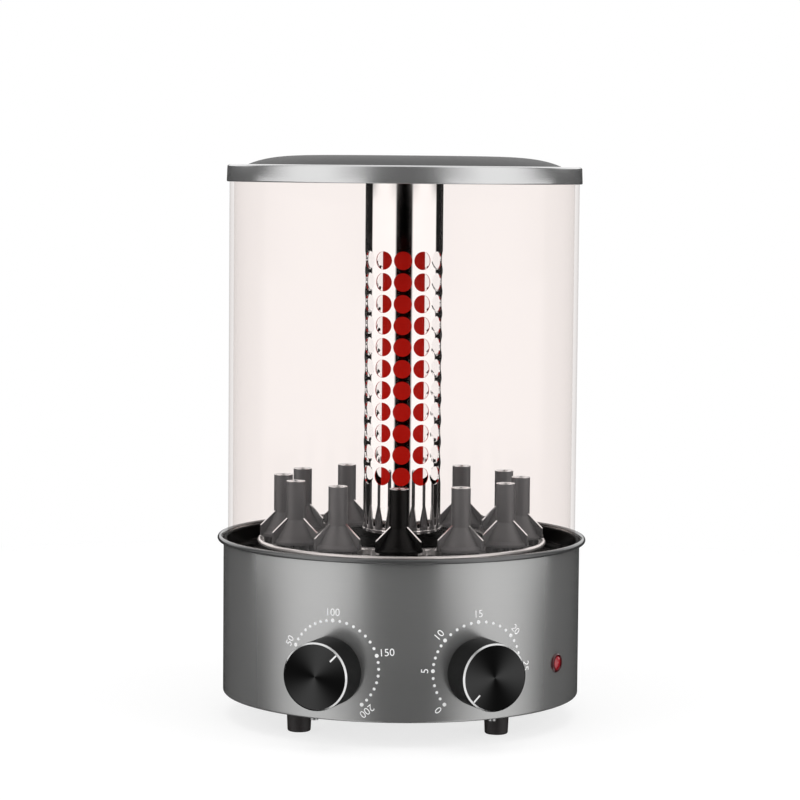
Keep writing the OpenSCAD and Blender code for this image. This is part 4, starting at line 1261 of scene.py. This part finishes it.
class GRILL_OT_stage(Piece):
    """Floor, light and camera"""

    bl_idname = "grill.stage"
    bl_label = "Stage"

    def build(self, sizes, colours):
        self.floor(sizes)
        self.world(sizes)
        self.lamps()
        self.camera(sizes)
        bpy.context.scene.view_settings.view_transform = "Standard"

    def facing(self, sizes, turn=0.0):
        """Unit vector on the floor from the grill towards the camera, or turned from there."""
        angle = sizes.camera_turn + turn
        return -math.sin(angle), -math.cos(angle)

    def floor(self, sizes):
        mesh = turned([(0, 0), (sizes.floor, 0), (sizes.floor, -2 * MM), (0, -2 * MM)], 96)
        finish = Finish("floor")
        vector, x, y, z = finish.position()
        path = finish.node("ShaderNodeLightPath")
        matt = finish.node("ShaderNodeBsdfDiffuse", {"Color": (0.86, 0.86, 0.86, 1)})[0]
        pale = finish.node("ShaderNodeBsdfDiffuse", {"Color": (0.29, 0.29, 0.29, 1)})[0]
        glow = finish.node("ShaderNodeEmission", {"Color": (1, 1, 1, 1), "Strength": 0.74})[0]
        both = finish.node("ShaderNodeAddShader", {0: pale, 1: glow})[0]
        seen = path["Is Camera Ray"].math("MAXIMUM", path["Is Transmission Ray"])
        shown = finish.node("ShaderNodeMixShader", {0: seen, 1: matt, 2: both})[0]
        clear = finish.node("ShaderNodeBsdfTransparent")[0]
        finish.surface(finish.node("ShaderNodeMixShader", {0: path["Is Glossy Ray"], 1: shown,
                                                           2: clear})[0])
        mesh.materials.append(finish.material)
        floor = bpy.data.objects.new("floor", mesh)
        bpy.context.scene.collection.objects.link(floor)

    def surround(self, maker, x, y, z, sizes):
        """What metal mirrors: two wide white screens, dark between them. Their edges are soft
        where it looks up or down, and the wall behind is white a little above the horizon."""
        length = (x * x + y * y + 1e-8) ** 0.5

        def ahead(turn):
            front_x, front_y = self.facing(sizes, turn)
            return (x * front_x + y * front_y) / length * 0.5 + 0.5

        level = maker.node("ShaderNodeValToRGB", {0: ahead(0)}, stops=[
            (0.0, 0.0), (0.325, 0.01), (0.355, 1.0), (0.947, 1.0), (0.965, 0.0), (1.0, 0.0)])[0]
        down = maker.node("ShaderNodeValToRGB", {0: ahead(math.radians(-3.9))}, stops=[
            (0.0, 0.0), (0.36, 0.0), (0.42, 0.1), (0.5, 0.42), (0.58, 0.72), (0.66, 0.92),
            (0.72, 1.0), (0.82, 1.0), (0.89, 0.72), (0.93, 0.42), (0.96, 0.15), (0.985, 0.02),
            (1.0, 0.0)])[0]
        up = maker.node("ShaderNodeValToRGB", {0: ahead(0)}, stops=[
            (0.0, 0.0), (0.25, 0.0), (0.36, 0.04), (0.42, 0.22), (0.5, 0.6), (0.58, 0.88),
            (0.66, 1.0), (0.826, 1.0), (0.894, 0.72), (0.94, 0.5), (0.976, 0.08),
            (1.0, 0.0)])[0]
        behind = ((z - 0.095) * 60).math("ADD", 0.0, clamp=True)
        behind = behind * ((0.3 - ahead(0)) * 8).math("ADD", 0.0, clamp=True)
        mixed = maker.mix(level, up, ((z + 0.012) * 80).math("ADD", 0.0, clamp=True))
        mixed = maker.mix(mixed, down, ((-0.12 - z) * 60).math("ADD", 0.0, clamp=True))
        return maker.mix(mixed, (1, 1, 1, 1), behind)

    def world(self, sizes):
        world = bpy.data.worlds.new("studio")
        bpy.context.scene.world = world
        world.use_nodes = True
        maker = Maker(world.node_tree)
        vector = maker.node("ShaderNodeTexCoord")["Generated"]
        parts = maker.node("ShaderNodeSeparateXYZ", {0: vector})
        mirrored = self.surround(maker, parts[0], parts[1], parts[2], sizes)
        overhead = ((parts[2] - 0.55) * 4).math("ADD", 0.0, clamp=True)
        front_x, front_y = self.facing(sizes)
        towards = parts[0] * front_x + parts[1] * front_y
        overhead = overhead * ((0.55 - towards) * 4).math("ADD", 0.0, clamp=True)
        mirrored = maker.mix(mirrored, (0.8, 0.8, 0.8, 1), overhead)
        path = maker.node("ShaderNodeLightPath")
        matt = maker.mix((0.62, 0.62, 0.62, 1), mirrored, path["Is Glossy Ray"])
        seen = path["Is Camera Ray"].math("MAXIMUM", path["Is Transmission Ray"])
        shown = maker.mix(matt, (1, 1, 1, 1), seen)
        strong = 1 + path["Is Glossy Ray"] * 0.15
        light = maker.node("ShaderNodeBackground", {"Color": shown, "Strength": strong})[0]
        maker.node("ShaderNodeOutputWorld", {"Surface": light})

    def lamps(self):
        for name, place, size, power in (("top softbox", (0, -0.2, 1.6), 1.4, 9),
                                         ("left softbox", (-1.5, -0.9, 0.9), 1.2, 10),
                                         ("right softbox", (1.5, -0.9, 0.9), 1.2, 10)):
            light = bpy.data.lights.new(name, "AREA")
            light.size = size
            light.energy = power
            lamp = bpy.data.objects.new(name, light)
            lamp.location = place
            aim = Vector((0, 0, 0.18)) - lamp.location
            lamp.rotation_euler = aim.to_track_quat("-Z", "Y").to_euler()
            lamp.visible_glossy = False
            bpy.context.scene.collection.objects.link(lamp)

    def camera(self, sizes):
        data = bpy.data.cameras.new("camera")
        data.lens = sizes.lens
        data.sensor_width = 36
        data.clip_end = 20
        camera = bpy.data.objects.new("camera", data)
        front = Vector((*self.facing(sizes), 0))
        right = Vector((-front.y, front.x, 0))
        aside = right * -1.8 * MM
        camera.location = front * sizes.camera_far + Vector((0, 0, sizes.eye)) + aside
        aim = Vector((0, 0, sizes.aim)) + aside - camera.location
        roll = Quaternion((0, 0, 1), sizes.camera_roll)
        camera.rotation_euler = (aim.to_track_quat("-Z", "Y") @ roll).to_euler()
        bpy.context.scene.collection.objects.link(camera)
        bpy.context.scene.camera = camera


STEPS = ("stage", "finishes", "housing", "pan", "turntable", "column", "heater", "cups", "knobs",
         "dials", "lamp", "feet", "glass", "lid")


class GRILL_PT_panel(bpy.types.Panel):
    """Lists the pieces of the grill."""

    bl_label = "Grill"
    bl_space_type = "VIEW_3D"
    bl_region_type = "UI"
    bl_category = "Grill"

    def draw(self, context):
        for step in STEPS:
            self.layout.operator("grill." + step)


CLASSES = (GrillSizes, GrillColours, GRILL_OT_stage, GRILL_OT_finishes, GRILL_OT_housing,
           GRILL_OT_pan, GRILL_OT_turntable, GRILL_OT_column, GRILL_OT_heater, GRILL_OT_cups,
           GRILL_OT_knobs, GRILL_OT_dials, GRILL_OT_lamp, GRILL_OT_feet, GRILL_OT_glass,
           GRILL_OT_lid, GRILL_PT_panel)


def register():
    for cls in CLASSES:
        bpy.utils.register_class(cls)
    bpy.types.Scene.grill_sizes = PointerProperty(type=GrillSizes)
    bpy.types.Scene.grill_colours = PointerProperty(type=GrillColours)


def unregister():
    del bpy.types.Scene.grill_colours
    del bpy.types.Scene.grill_sizes
    for cls in reversed(CLASSES):
        bpy.utils.unregister_class(cls)


def plain(box):
    return [list(corner) for corner in box]


def main():
    register()
    for step in STEPS:
        getattr(bpy.ops.grill, step)()


if __name__ == "__main__":
    main()
